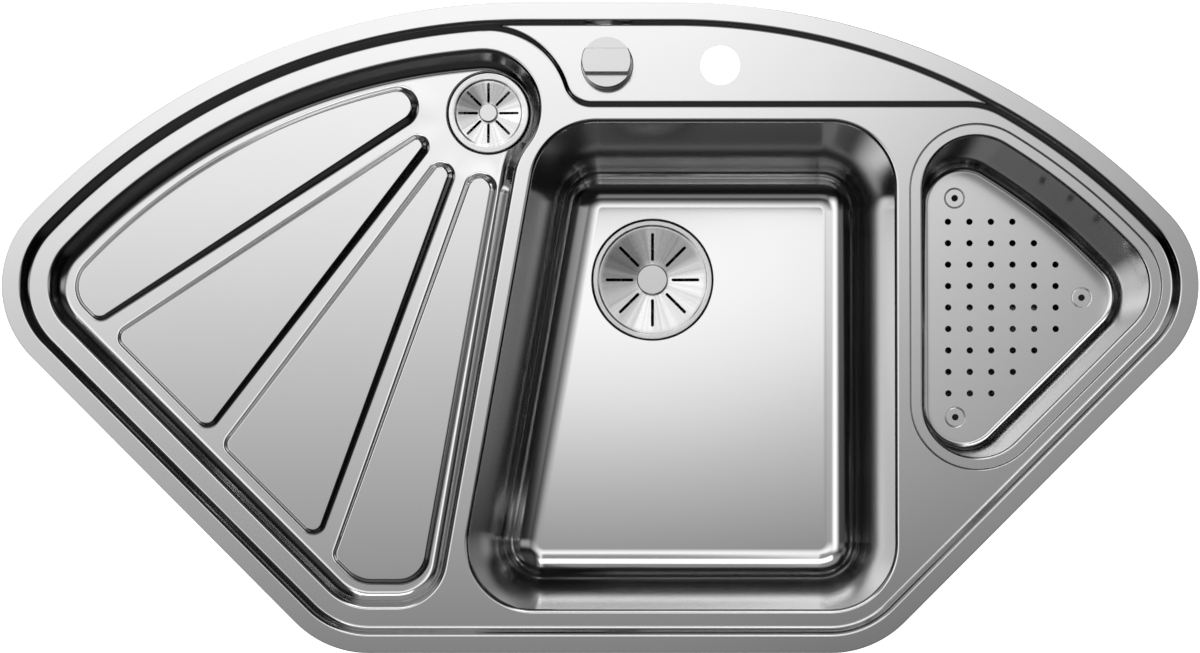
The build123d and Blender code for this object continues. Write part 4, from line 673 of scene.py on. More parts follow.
def linear(hex_colour: str) -> tuple[float, float, float, float]:
    """Linear colour from an sRGB hex value such as "C8C9CA", by the curve of the sRGB standard."""
    channels = [int(hex_colour[i:i + 2], 16) / 255 for i in (0, 2, 4)]
    values = [c / 12.92 if c <= 0.04045 else ((c + 0.055) / 1.055) ** 2.4 for c in channels]
    return (values[0], values[1], values[2], 1.0)


def add_node(tree: bpy.types.NodeTree, kind: str, settings: dict | None = None,
             inputs: dict | None = None) -> bpy.types.Node:
    """Adds a node with its settings and links.

    Args:
        tree: node tree that gets the node.
        kind: type name of the node.
        settings: attributes of the node.
        inputs: socket name or number to a value, or to the output socket that feeds it.

    Returns:
        The new node.
    """
    node = tree.nodes.new(kind)
    for key, value in (settings or {}).items():
        setattr(node, key, value)
    for key, value in (inputs or {}).items():
        if isinstance(value, bpy.types.NodeSocket):
            tree.links.new(value, node.inputs[key])
        else:
            node.inputs[key].default_value = value
    return node


def new_material(name: str) -> tuple[bpy.types.Material, bpy.types.NodeTree]:
    """Empty material with an output node."""
    material = bpy.data.materials.new(name)
    material.use_nodes = True
    material.node_tree.nodes.clear()
    return material, material.node_tree


def finish_surface(tree: bpy.types.NodeTree, inputs: dict) -> bpy.types.Node:
    """Adds the shader with its inputs and links it to the output."""
    shader = add_node(tree, "ShaderNodeBsdfPrincipled", inputs=inputs)
    add_node(tree, "ShaderNodeOutputMaterial", inputs={"Surface": shader.outputs["BSDF"]})
    return shader


def fill_ramp(ramp: bpy.types.Node, stops: tuple[tuple[float, float], ...]) -> None:
    """Gives a colour ramp its grey stops, each a place and a level."""
    elements = ramp.color_ramp.elements
    while len(elements) < len(stops):
        elements.new(0.5)
    for element, (position, level) in zip(elements, stops):
        element.position = position
        element.color = (level, level, level, 1.0)


@dataclass(frozen=True)
class SatinSteel:
    """Stainless sheet, fine satin finish: the eye sees soft-edged dark and bright reflections.

    Its grain, below 0.1 mm, is too fine to show, so grit_mm draws it coarser and much flatter. The
    wave is the slight unevenness of a thin pressed sheet, which bends the reflections a little.
    """

    name: str = "stainless_sheet_satin_rolled"
    colour: str = "C8C8C8"
    roughness: float = 0.13
    gloss_spread: float = 0.008
    grit_mm: float = 0.9
    grit_height_mm: float = 0.0003
    wave_mm: float = 120.0
    wave_height_mm: float = 0.05

    def build(self) -> bpy.types.Material:
        """Makes the material: fine satin grain, slight waviness of a thin pressed sheet."""
        material, tree = new_material(self.name)
        place = add_node(tree, "ShaderNodeTexCoord").outputs["Object"]
        grain = add_node(tree, "ShaderNodeTexNoise", inputs={
            "Vector": place, "Scale": 1 / (self.grit_mm * MM), "Detail": 2.0, "Roughness": 0.6})
        wave = add_node(tree, "ShaderNodeTexNoise", inputs={
            "Vector": place, "Scale": 1 / (self.wave_mm * MM), "Detail": 1.0, "Roughness": 0.4})
        rough = add_node(tree, "ShaderNodeMapRange", inputs={
            "Value": grain.outputs["Fac"], "From Min": NOISE_LOW, "From Max": NOISE_HIGH,
            "To Min": self.roughness - self.gloss_spread,
            "To Max": self.roughness + self.gloss_spread})
        soft = add_node(tree, "ShaderNodeBump", inputs={
            "Height": wave.outputs["Fac"], "Strength": 1.0, "Distance": self.wave_height_mm * MM})
        fine = add_node(tree, "ShaderNodeBump", inputs={
            "Height": grain.outputs["Fac"], "Strength": 1.0, "Distance": self.grit_height_mm * MM,
            "Normal": soft.outputs["Normal"]})
        finish_surface(tree, {
            "Base Color": linear(self.colour), "Metallic": 1.0,
            "Roughness": rough.outputs["Result"], "Normal": fine.outputs["Normal"]})
        return material


@dataclass(frozen=True)
class TurnedSteel:
    """Stainless disc brushed in circles: the eye sees bright and dark fans round its centre.

    The brushing lines, below 0.1 mm, are too fine to show: groove_mm draws them coarser. The fans
    of reflection that they make are painted into the colour as painted reflection, a level of grey
    at shares of a turn, with painted streaks. The painted pattern ends between the shares of the
    width in painted_fan_reach, inside the rolled rim. painted_streak_scale has no length: it
    counts the streaks on a circle of radius one.
    """

    name: str = "stainless_disc_circular_brushed"
    colour: str = "DCDCDC"
    roughness: float = 0.24
    gloss_spread: float = 0.04
    anisotropic: float = 0.85
    highlight_turn: float = 0.25
    groove_mm: float = 0.8
    groove_height_mm: float = 0.01
    painted_fan_reach: tuple[float, float] = (0.46, 0.41)
    painted_streak_scale: float = 7.0
    painted_streak_noise: tuple[float, float] = (0.35, 0.65)
    painted_streak_levels: tuple[float, float] = (0.8, 1.1)
    # grey levels of the painted reflection: bright and dark fans, each at a share of a turn
    painted_fans: tuple[tuple[float, float], ...] = (
        (0.0, 0.42), (0.07, 0.78), (0.17, 0.80), (0.25, 0.86), (0.34, 0.76), (0.42, 0.70),
        (0.50, 0.88), (0.60, 0.50), (0.68, 0.62), (0.75, 0.92), (0.83, 0.48), (0.92, 0.26),
        (1.0, 0.42))

    def build(self) -> bpy.types.Material:
        """Makes the material, with its highlights along the turning marks."""
        material, tree = new_material(self.name)
        tangent = add_node(tree, "ShaderNodeTangent", {"direction_type": "RADIAL", "axis": "Z"})
        place = add_node(tree, "ShaderNodeTexCoord").outputs["Object"]
        grain = add_node(tree, "ShaderNodeTexNoise", inputs={
            "Vector": place, "Scale": 1 / (self.groove_mm * MM), "Detail": 2.0})
        rough = add_node(tree, "ShaderNodeMapRange", inputs={
            "Value": grain.outputs["Fac"], "From Min": NOISE_LOW, "From Max": NOISE_HIGH,
            "To Min": self.roughness - self.gloss_spread,
            "To Max": self.roughness + self.gloss_spread})
        fine = add_node(tree, "ShaderNodeBump", inputs={
            "Height": grain.outputs["Fac"], "Strength": 1.0,
            "Distance": self.groove_height_mm * MM})
        whole = add_node(tree, "ShaderNodeTexCoord").outputs["Generated"]
        spoke = add_node(tree, "ShaderNodeVectorMath", {"operation": "MULTIPLY_ADD"}, {
            0: whole, 1: (1.0, 1.0, 0.0), 2: (-0.5, -0.5, 0.0)}).outputs["Vector"]
        around = add_node(tree, "ShaderNodeTexGradient", {"gradient_type": "RADIAL"}, {
            "Vector": spoke})
        # painted reflection: bright and dark fans with painted streaks round the disc's middle, put
        # into the base colour inside the rim
        painted_fan = add_node(tree, "ShaderNodeValToRGB", inputs={"Fac": around.outputs["Fac"]})
        fill_ramp(painted_fan, self.painted_fans)
        unit = add_node(tree, "ShaderNodeVectorMath", {"operation": "NORMALIZE"}, {0: spoke})
        painted_streak = add_node(tree, "ShaderNodeTexNoise", inputs={
            "Vector": unit.outputs["Vector"], "Scale": self.painted_streak_scale, "Detail": 4.0})
        shine = add_node(tree, "ShaderNodeMapRange", inputs={
            "Value": painted_streak.outputs["Fac"],
            "From Min": self.painted_streak_noise[0], "From Max": self.painted_streak_noise[1],
            "To Min": self.painted_streak_levels[0], "To Max": self.painted_streak_levels[1]}).outputs["Result"]
        painted_tone = add_node(tree, "ShaderNodeMath", {"operation": "MULTIPLY"}, {
            0: painted_fan.outputs["Color"], 1: shine}).outputs[0]
        radius = add_node(tree, "ShaderNodeVectorMath", {"operation": "LENGTH"}, {0: spoke})
        inside = add_node(tree, "ShaderNodeMapRange", inputs={
            "Value": radius.outputs["Value"], "From Min": self.painted_fan_reach[0],
            "From Max": self.painted_fan_reach[1]}).outputs["Result"]
        factor, plain, drawn, mixed = 0, 6, 7, 2    # numbers of the colour sockets of a mix node
        colour = add_node(tree, "ShaderNodeMix", {"data_type": "RGBA"}, {
            factor: inside, plain: linear(self.colour), drawn: painted_tone}).outputs[mixed]
        finish_surface(tree, {
            "Base Color": colour, "Metallic": 1.0, "Roughness": rough.outputs["Result"],
            "Anisotropic": self.anisotropic, "Anisotropic Rotation": self.highlight_turn,
            "Tangent": tangent.outputs["Tangent"], "Normal": fine.outputs["Normal"]})
        return material


@dataclass(frozen=True)
class Moulded:
    """Moulded, drawn or plated stuff: the eye sees a faint grain and a slightly uneven gloss.

    The grain of most of these is too fine to show, so texture_mm draws it coarser. cloud_times is
    the size of the gloss clouds in grains.
    """

    name: str
    colour: str
    roughness: float
    metallic: float = 0.0
    texture_mm: float = 1.2
    texture_height_mm: float = 0.02
    gloss_spread: float = 0.12
    cloud_times: float = 40.0
    tints: tuple[float, float] = (0.92, 1.06)

    def build(self) -> bpy.types.Material:
        """Makes the material, with a slight unevenness in colour, gloss and height."""
        material, tree = new_material(self.name)
        place = add_node(tree, "ShaderNodeTexCoord").outputs["Object"]
        speck = add_node(tree, "ShaderNodeTexNoise", inputs={
            "Vector": place, "Scale": 1 / (self.texture_mm * MM), "Detail": 3.0})
        cloud = add_node(tree, "ShaderNodeTexNoise", inputs={
            "Vector": place, "Scale": 1 / (self.cloud_times * self.texture_mm * MM), "Detail": 2.0})
        rough = add_node(tree, "ShaderNodeMapRange", inputs={
            "Value": cloud.outputs["Fac"], "From Min": NOISE_LOW, "From Max": NOISE_HIGH,
            "To Min": self.roughness * (1 - self.gloss_spread),
            "To Max": min(1.0, self.roughness * (1 + self.gloss_spread))})
        darker, lighter = (tuple(min(1.0, c * tint) for c in linear(self.colour)[:3]) + (1.0,)
                           for tint in self.tints)
        tint = add_node(tree, "ShaderNodeMix", {"data_type": "RGBA"}, {
            "Factor": speck.outputs["Fac"], "A": darker, "B": lighter})
        fine = add_node(tree, "ShaderNodeBump", inputs={
            "Height": speck.outputs["Fac"], "Strength": 1.0,
            "Distance": self.texture_height_mm * MM})
        finish_surface(tree, {
            "Base Color": tint.outputs["Result"], "Metallic": self.metallic,
            "Roughness": rough.outputs["Result"], "Normal": fine.outputs["Normal"]})
        return material


class Finish(Enum):
    """Finishes of the sink's pieces, with what the eye sees."""

    SHEET = SatinSteel()
    DISC = TurnedSteel()
    # Small steel button: a blurred, even glint
    HUB = SatinSteel(name="stainless_button_satin_polished", colour="C6C6C6", roughness=0.2)
    # Satin chrome on zinc: as bright as the sheet, with softer reflections
    KNOB = SatinSteel(name="zinc_knob_satin_chromed", colour="C6C6C6", roughness=0.22)
    # Inside of a drawn cup: steel painted dark grey, as painted shade of the hollow under a lid
    PAINTED_SHADE_CUP = Moulded("stainless_cup_painted_shade", "46474A", 0.42, 1.0)
    # Bare turned brass: warm yellow with clear highlights
    BRASS = Moulded("brass_barrel_machined", "B79A5B", 0.28, 1.0)
    # Zinc plate: dull, slightly blue grey metal
    ZINC = Moulded("steel_fastener_zinc_plated", "A9ABAE", 0.34, 1.0)
    # Moulded rubber: nearly black, with no clear highlight
    RUBBER = Moulded("rubber_seal_moulded", "1B1B1C", 0.62)
    # Rolled bitumen: rough, dead matt dark grey
    BITUMEN = Moulded("bitumen_pad_rolled", "333335", 0.85, texture_mm=2.0, texture_height_mm=0.15)
    # Moulded polypropylene: off-white with a waxy sheen
    WHITE = Moulded("polypropylene_waste_moulded_white", "E4E5E3", 0.38)
    # Moulded polyamide: black with a soft sheen
    DARK = Moulded("polyamide_case_moulded_black", "202123", 0.45)


SLOT_FINISH = {
    "pressed_stainless": Finish.SHEET, "turned_stainless": Finish.DISC, "knob_metal": Finish.KNOB,
    "brass": Finish.BRASS, "steel_fasteners": Finish.ZINC, "black_rubber": Finish.RUBBER,
    "bitumen_pad": Finish.BITUMEN, "white_plastic": Finish.WHITE, "dark_plastic": Finish.DARK,
}


class Paint:
    """Builds each finish once and gives it to pieces."""

    def __init__(self) -> None:
        """Starts with no material made."""
        self.made: dict[Finish, bpy.types.Material] = {}

    def material(self, finish: Finish) -> bpy.types.Material:
        """Material of a finish."""
        if finish not in self.made:
            self.made[finish] = finish.value.build()
        return self.made[finish]

    def dress(self, piece: bpy.types.Object, finish: Finish) -> None:
        """Puts one finish on a whole piece."""
        piece.data.materials.clear()
        piece.data.materials.append(self.material(finish))


# Sheet-metal pieces


@dataclass
class Deck:
    """Pressed deck: rim, ledge, field, tray with pads, and the collars of the bowls.

    Sizes are in millimetres and drafts and the fall in degrees. A slope is the sideways run for
    each millimetre of height, and a blend the height over which two surfaces are rounded.
    """

    plan: SinkPlan
    sheet: float = 1.0
    rim_top: float = 3.0
    lip_low: float = 0.4
    lip_round: float = 0.7
    ledge_z: float = -0.5
    field_z: float = -4.0
    step_run: float = 5.5
    ledge_inset: float = 19.25
    step_blend: float = 1.9
    tray_z: float = -18.0
    tray_slope: float = 0.84
    tray_fall: float = 0.45
    tray_mouth_blend: float = 2.2
    tray_foot_blend: float = 5.5
    pad_z: float = -12.5
    pad_slope: float = 1.0
    pad_top_blend: float = 0.9
    pad_foot_blend: float = 1.8
    seat_depth: float = 3.0
    seat_gap: float = 0.3
    seat_blend: float = 0.7
    pocket_slope: float = 0.5
    side_drop: float = 1.2
    side_run: float = 1.0
    side_blend: float = 0.5
    collar_z: float = -16.0
    bowl_draft: float = 7.0
    bowl_round: float = 4.0
    side_draft: float = 3.0
    side_round: float = 2.0
    knob_gap: float = 0.3
    waste_radius: float = 24.0
    lip_steps: int = 5

    def __post_init__(self) -> None:
        """Takes the places of the holes from the frame."""
        low, high = box_mm("drainer_strainer")
        self.seat_radius = (high[0] - low[0]) / 2 + self.seat_gap
        self.drainer = np.array([self.plan.drainer_x, self.plan.drainer_y])
        mounts = {m["name"]: m for m in frame["record"]["mounts"]}
        tap = mounts["tap_hole"]
        self.tap = ring_loop(tap["pos_m"][0] / MM, tap["pos_m"][1] / MM, tap["dims"]["r_mm"])
        knob = centre_mm("knob_housing")
        low, high = box_mm("knob_housing")
        self.knob = ring_loop(knob[0], knob[1], (high[0] - low[0]) / 2 + self.knob_gap)
        self.waste = ring_loop(*self.drainer, self.waste_radius)

    def floor_height(self, points: Array) -> Array:
        """Tray floor, which falls to the drainer waste."""
        away = (points - self.drainer) @ np.array([1.0, 1.0]) / math.sqrt(2)
        return self.tray_z - away * math.tan(math.radians(self.tray_fall))

    def height(self, points: Array) -> Array:
        """Height of the pressed surface at plan points."""
        plan = self.plan
        rise = self.step_run / (self.rim_top - self.field_z)
        inset = -plan.outline.distance(points)
        ledge = soft_max(self.ledge_z, self.ledge_z + (self.ledge_inset - inset) / rise,
                         self.step_blend)
        z = soft_min(np.full(len(points), self.rim_top), ledge, self.step_blend)
        outside = plan.field.distance(points)
        low = soft_max(self.field_z, self.field_z + outside / rise, self.step_blend)
        z = soft_min(z, low, self.step_blend)
        wall = self.field_z + plan.tray.distance(points) / self.tray_slope
        z = soft_min(z, soft_max(self.floor_height(points), wall, self.tray_foot_blend),
                     self.tray_mouth_blend)
        for pad in plan.pads:
            flank = self.pad_z - pad.distance(points) / self.pad_slope
            z = soft_max(z, soft_min(self.pad_z, flank, self.pad_top_blend), self.pad_foot_blend)
        seat_z = self.tray_z - self.seat_depth
        pocket = seat_z + (radii(points, self.drainer) - self.seat_radius) / self.pocket_slope
        seat = soft_max(seat_z, pocket, self.seat_blend)
        z = soft_min(z, seat, self.seat_blend)
        side_z = self.field_z - self.side_drop
        side = side_z + plan.side.distance(points) * self.side_drop / self.side_run
        return soft_min(z, soft_max(side_z, side, self.side_blend), self.side_blend)

    def mouths(self) -> list[tuple[Loop, float, float, float]]:
        """Loop, top height, mouth radius and draft of each bowl opening."""
        side_z = self.field_z - self.side_drop
        return [(self.plan.bowl, self.field_z, self.bowl_round, self.bowl_draft),
                (self.plan.side_mouth, side_z, self.side_round, self.side_draft)]

    def contours(self) -> list[Array]:
        """Lines that the triangles follow, at distances outwards from each edge in millimetres."""
        plan = self.plan
        rim = self.rim_trace()
        lines = [rim.grown(-inset) for inset in (self.lip_round, 8.0, *stepped(14.6, 24.2, 0.8))]
        ledge = plan.field.trace(7.0, 5.0)
        beside_rim = 0.05
        keep = -plan.outline.distance(ledge.points) > plan.foot_inset + beside_rim
        for grow in stepped(-2.2, 5.0, 0.8):
            lines.extend(self.stretches(ledge.grown(grow), keep))
        groups = [(plan.tray.trace(7.0, 5.0),
                   (2.2, *stepped(1.4, -1.4, -0.7), -2.2, *stepped(-3.5, -17.0, -1.5)))]
        groups += [(pad.trace(6.0, 8.0), (*stepped(-1.0, 1.0, 0.5), *stepped(1.8, 5.8, 0.8), 6.8))
                   for pad in plan.pads]
        groups += [(ring_loop(*self.drainer, self.seat_radius).trace(4.0, 5.0),
                    (*stepped(-0.8, 0.8, 0.4), 1.6, *stepped(2.2, 3.8, 0.4))),
                   (plan.side.trace(6.0, 4.0), stepped(-0.5, 1.6, 0.3))]
        groups += [(self.mouth_trace(mouth[0]), (self.mouth_edge(*mouth[1:]),))
                   for mouth in self.mouths()]
        lines += [trace.grown(grow) for trace, grows in groups for grow in grows]
        return lines + [hole.trace(2.0, 6.0).points for hole in (self.tap, self.knob, self.waste)]

    def rim_trace(self) -> Trace:
        """Samples of the outline, shared by the rim and its lip."""
        return self.plan.outline.trace(9.0, 4.0)

    @staticmethod
    def mouth_edge(top: float, radius: float, draft: float) -> float:
        """Distance outwards from a mouth's loop at which its rounding starts."""
        return mouth_profile(top, top - 1, radius, draft)[0].offset

    @staticmethod
    def mouth_trace(loop: Loop) -> Trace:
        """Samples of a bowl mouth, shared by the deck and the bowl below it."""
        return loop.trace(7.0, 3.0)

    @staticmethod
    def stretches(line: Array, keep: Array) -> list[Array]:
        """Parts of a closed line that are kept, each as a thin there-and-back line."""
        if keep.all():
            return [line]
        start = int(np.argmin(keep))
        line, keep = np.roll(line, -start, 0), np.roll(keep, -start)
        parts, current = [], []
        for point, kept in [*zip(line, keep), (None, False)]:
            if kept:
                current.append(point)
                continue
            if len(current) > 2:
                parts.append(np.array(current + current[-2:0:-1]))
            current = []
        return parts

    def build(self) -> bpy.types.Object:
        """Makes the deck as one sheet."""
        skin = Surface()

        def in_sheet(points: Array) -> Array:
            """Tells which plan points lie on the flat-lying part of the sheet."""
            inside = self.plan.outline.distance(points) < -self.lip_round
            for loop, *mouth in self.mouths():
                inside &= loop.distance(points) > self.mouth_edge(*mouth)
            return inside & clear_of([self.tap, self.knob, self.waste], points)

        skin.fill(self.contours(), self.height, in_sheet)
        lip = arc_stations(-self.lip_round, self.rim_top - self.lip_round, self.lip_round, 90, 0,
                           self.lip_steps)
        lip.append(Station(0.0, self.lip_low, 1.0, 0.0))
        skin.sweep(self.rim_trace(), lip[::-1])
        for loop, top, radius, draft in self.mouths():
            stations = mouth_profile(top, self.collar_z, radius, draft)
            skin.sweep(self.mouth_trace(loop), stations)
        return skin.sheet("deck_shell", self.sheet)


@dataclass
class Bowl:
    """Pressed bowl under a collar of the deck, with a pocket for its waste.

    Sizes are in millimetres and angles in degrees. In its shading alone the floor falls to the
    back, steeper by fall_bend with each millimetre behind fall_start.
    """

    name: str
    loop: Loop
    top: float
    draft: float
    floor: float
    foot_round: float
    waste: Array
    seat_radius: float
    seat_depth: float
    hole_radius: float
    collar_z: float = -16.0
    sheet: float = 1.0
    pocket_round: float = 0.8
    pocket_angle: float = 72.0
    pocket_steps: int = 4
    fall_start: float = -200.0
    fall_bend: float = 0.000263
    grid: float = 14.0
    border: float = 3.0
    clear_of_wall: float = 5.0
    clear_of_waste: float = 2.0

    def pocket(self) -> list[Station]:
        """Pocket from the floor down to its flat seat and in to the hole."""
        radius, r, angle = self.seat_radius, self.pocket_round, self.pocket_angle
        steps = self.pocket_steps
        seat = self.floor - self.seat_depth
        run = self.seat_depth / math.tan(math.radians(angle))
        bend = math.tan(math.radians(angle / 2)) * r
        top = arc_stations(radius + run + bend, self.floor - r, r, 90, 90 + angle, steps)
        foot = arc_stations(radius - bend, seat + r, r, angle - 90, -90, steps, hollow=True)
        return top + foot + [Station(self.hole_radius, seat, 0.0, 1.0)]

    def build(self) -> bpy.types.Object:
        """Makes the bowl as one sheet."""
        skin = Surface()
        trace = Deck.mouth_trace(self.loop)
        wall = bottom_profile(self.top, self.collar_z, self.floor, self.foot_round, self.draft)
        skin.sweep(trace, wall)
        pocket = self.pocket()
        edge = pocket[0].offset
        limit = wall[-1].offset
        mouth = ring_loop(*self.waste, edge)
        circle = mouth.trace(8.0, 4.0)
        edge_lines = [trace.grown(limit), trace.grown(limit - self.border), circle.points]
        low, high = edge_lines[0].min(0), edge_lines[0].max(0)
        across, along = (np.arange(low[k] + self.grid, high[k], self.grid) for k in (0, 1))
        grid = np.array([(x, y) for y in along for x in across])
        clear = ((self.loop.distance(grid) < limit - self.clear_of_wall)
                 & (mouth.distance(grid) > self.clear_of_waste))
        skin.fill(edge_lines, lambda p: np.full(len(p), self.floor),
                  lambda p: (self.loop.distance(p) < limit) & (mouth.distance(p) > 0.0),
                  lambda p: -self.fall_bend / 2 * np.maximum(p[:, 1] - self.fall_start, 0.0) ** 2,
                  grid[clear])
        skin.sweep(circle, [s.moved(-edge) for s in pocket])
        return skin.sheet(self.name, self.sheet)


@dataclass
class Colander:
    """Lift-out colander: flange, drafted wall and a perforated floor.

    Sizes are in millimetres and the draft in degrees. fall is the slope to the back that the floor
    has in its shading alone.
    """

    plan: SinkPlan
    flange_top: float = -4.2
    flange_gap: float = 0.7
    wall_inset: float = 10.5
    draft: float = 4.5
    floor: float = -118.0
    mouth_round: float = 2.5
    foot_round: float = 8.0
    sheet: float = 1.0
    hole_radius: float = 3.0
    pitch: float = 20.0
    columns: int = 6
    rows: int = 9
    first_x: float = 320.0
    middle_y: float = 26.7
    margin: float = 40.0
    fall: float = 0.012
    dimple_radius: float = 9.0
    dimple_width: float = 0.9
    dimple_depth: float = 0.45
    mouth_depth: float = 8.0
    border: float = 2.0

    def hole_places(self) -> list[tuple[float, float]]:
        """Centres of the drain holes: the points of an even grid that keep clear of the wall."""
        xs = self.first_x + np.arange(self.columns) * self.pitch
        ys = self.middle_y + (np.arange(self.rows) - (self.rows - 1) / 2) * self.pitch
        grid = np.array([(x, y) for y in ys for x in xs])
        return [tuple(p) for p in grid[self.plan.side.distance(grid) < -self.margin]]

    def build(self) -> bpy.types.Object:
        """Makes the colander as one sheet."""
        skin = Surface()
        trace = self.plan.side.trace(6.0, 3.0)
        low = self.flange_top - self.mouth_depth
        mouth = mouth_profile(self.flange_top, low, self.mouth_round, self.draft)
        stations = [s.moved(-self.wall_inset) for s in mouth[:-1]]
        wall = bottom_profile(self.flange_top, low, self.floor, self.foot_round, self.draft,
                              self.wall_inset, steps=8)
        flange = [Station(-self.flange_gap, self.flange_top, 0.0, 1.0)]
        skin.sweep(trace, flange + stations + wall)
        limit = wall[-1].offset
        feet = [centre_mm(f"colander_foot_{k}")[:2] for k in (1, 2, 3)]
        holes = [ring_loop(*spot, self.hole_radius) for spot in self.hole_places() + feet]
        rings = [hole.trace(1.2, 15.0).points for hole in holes]
        widths = (-4.0, -1.5, -1.05, -0.5, 0.0, 0.5, 1.05, 1.5, 2.5)    # across a pressed ring
        for foot in feet:
            dimple = ring_loop(*foot, self.dimple_radius).trace(2.0, 6.0)
            rings += [dimple.grown(self.dimple_width * k) for k in widths]

        def floor_height(points: Array) -> Array:
            """Floor with a fine pressed ring round each foot."""
            z = np.full(len(points), self.floor)
            for foot in feet:
                off = np.abs(radii(points, foot) - self.dimple_radius)
                z = z - self.dimple_depth * np.clip(1 - off / self.dimple_width, 0.0, 1.0)
            return z

        def on_floor(points: Array) -> Array:
            """Tells which plan points lie on the perforated floor."""
            return (self.plan.side.distance(points) < limit) & clear_of(holes, points)

        skin.fill([trace.grown(limit), trace.grown(limit - self.border)] + rings, floor_height,
                  on_floor, lambda p: -self.fall * p[:, 1])
        return skin.sheet("colander_shell", self.sheet)


@dataclass
class StrainerLid:
    """Slotted, dished disc with a rolled rim.

    Sizes are in millimetres. slope is the rise of the dish for each millimetre outwards, and
    mirror_slope what its shading alone adds to that.
    """

    name: str
    node: str
    rim_width: float
    slot_start: float
    slot_end: float
    slot_width: float
    flat_radius: float
    slope: float = 0.045
    sheet: float = 0.9
    rim_height: float = 1.9
    dish_drop: float = 0.7
    dish_run: float = 2.4
    dish_steps: int = 8
    edge_round: float = 0.7
    edge_steps: int = 5
    mirror_slope: float = 0.05
    slots: int = 8
    rings: int = 7
    border: float = 1.5

    def slot_loop(self, centre: Array, k: int) -> Loop:
        """Outline of one slot."""
        angle = 2 * math.pi * k / self.slots
        direction = np.array([math.cos(angle), math.sin(angle)])
        r = self.slot_width / 2
        near = centre + direction * (self.slot_start + r)
        far = centre + direction * (self.slot_end - r)
        return Loop([Circle(*near, r), Circle(*far, r)])

    def build(self) -> bpy.types.Object:
        """Makes the lid as one sheet over the frame's own disc."""
        low, high = box_mm(self.node)
        centre = (low + high)[:2] / 2
        outer = (high[0] - low[0]) / 2
        top = high[2]
        inner = outer - self.rim_width
        circle = ring_loop(*centre, outer).trace(6.0, 3.0)
        skin = Surface()
        r = self.edge_round
        crown = [Station(outer, top - self.rim_height, 1.0, 0.0)]
        crown += arc_stations(outer - r, top - r, r, 0, 90, self.edge_steps)
        limit = inner - self.dish_run / 2
        for k in range(self.dish_steps + 1):
            share = k / self.dish_steps
            ease = (1 - math.cos(math.pi * share)) / 2
            lean = math.pi / 2 * math.sin(math.pi * share) * self.dish_drop / self.dish_run
            crown.append(Station(inner + self.dish_run * (0.5 - share), top - self.dish_drop * ease,
                                 -lean, 1.0))
        skin.sweep(circle, [s.moved(-outer) for s in crown])
        slots = [self.slot_loop(centre, k) for k in range(self.slots)]

        def dish(points: Array) -> Array:
            """Height of the shallow dish, flat in its middle."""
            reach = np.maximum(radii(points, centre), self.flat_radius)
            return top - self.dish_drop - self.slope * (limit - reach)

        def in_dish(points: Array) -> Array:
            """Tells which plan points lie on the dish."""
            return (radii(points, centre) < limit) & clear_of(slots, points)

        edges = [limit, *np.linspace(self.flat_radius, limit - self.border, self.rings)]
        lines = [circle.grown(radius - outer) for radius in edges]
        lines += [slot.trace(1.5, 20.0).points for slot in slots]
        skin.fill(lines, dish, in_dish, lambda p: self.mirror_slope
                  * np.maximum(radii(p, centre), self.flat_radius))
        return skin.sheet(self.name, self.sheet)


# Studio


class Card(NamedTuple):
    """Soft-edged card of the studio's surround.

    edges has four places along X, then four along Y: where the card starts, is full, starts to
    end and ends, as parts of a unit direction. level is its light or, for a card that dims, the
    share of light that it adds, which is below zero.
    """

    edges: tuple[float, ...]
    level: float


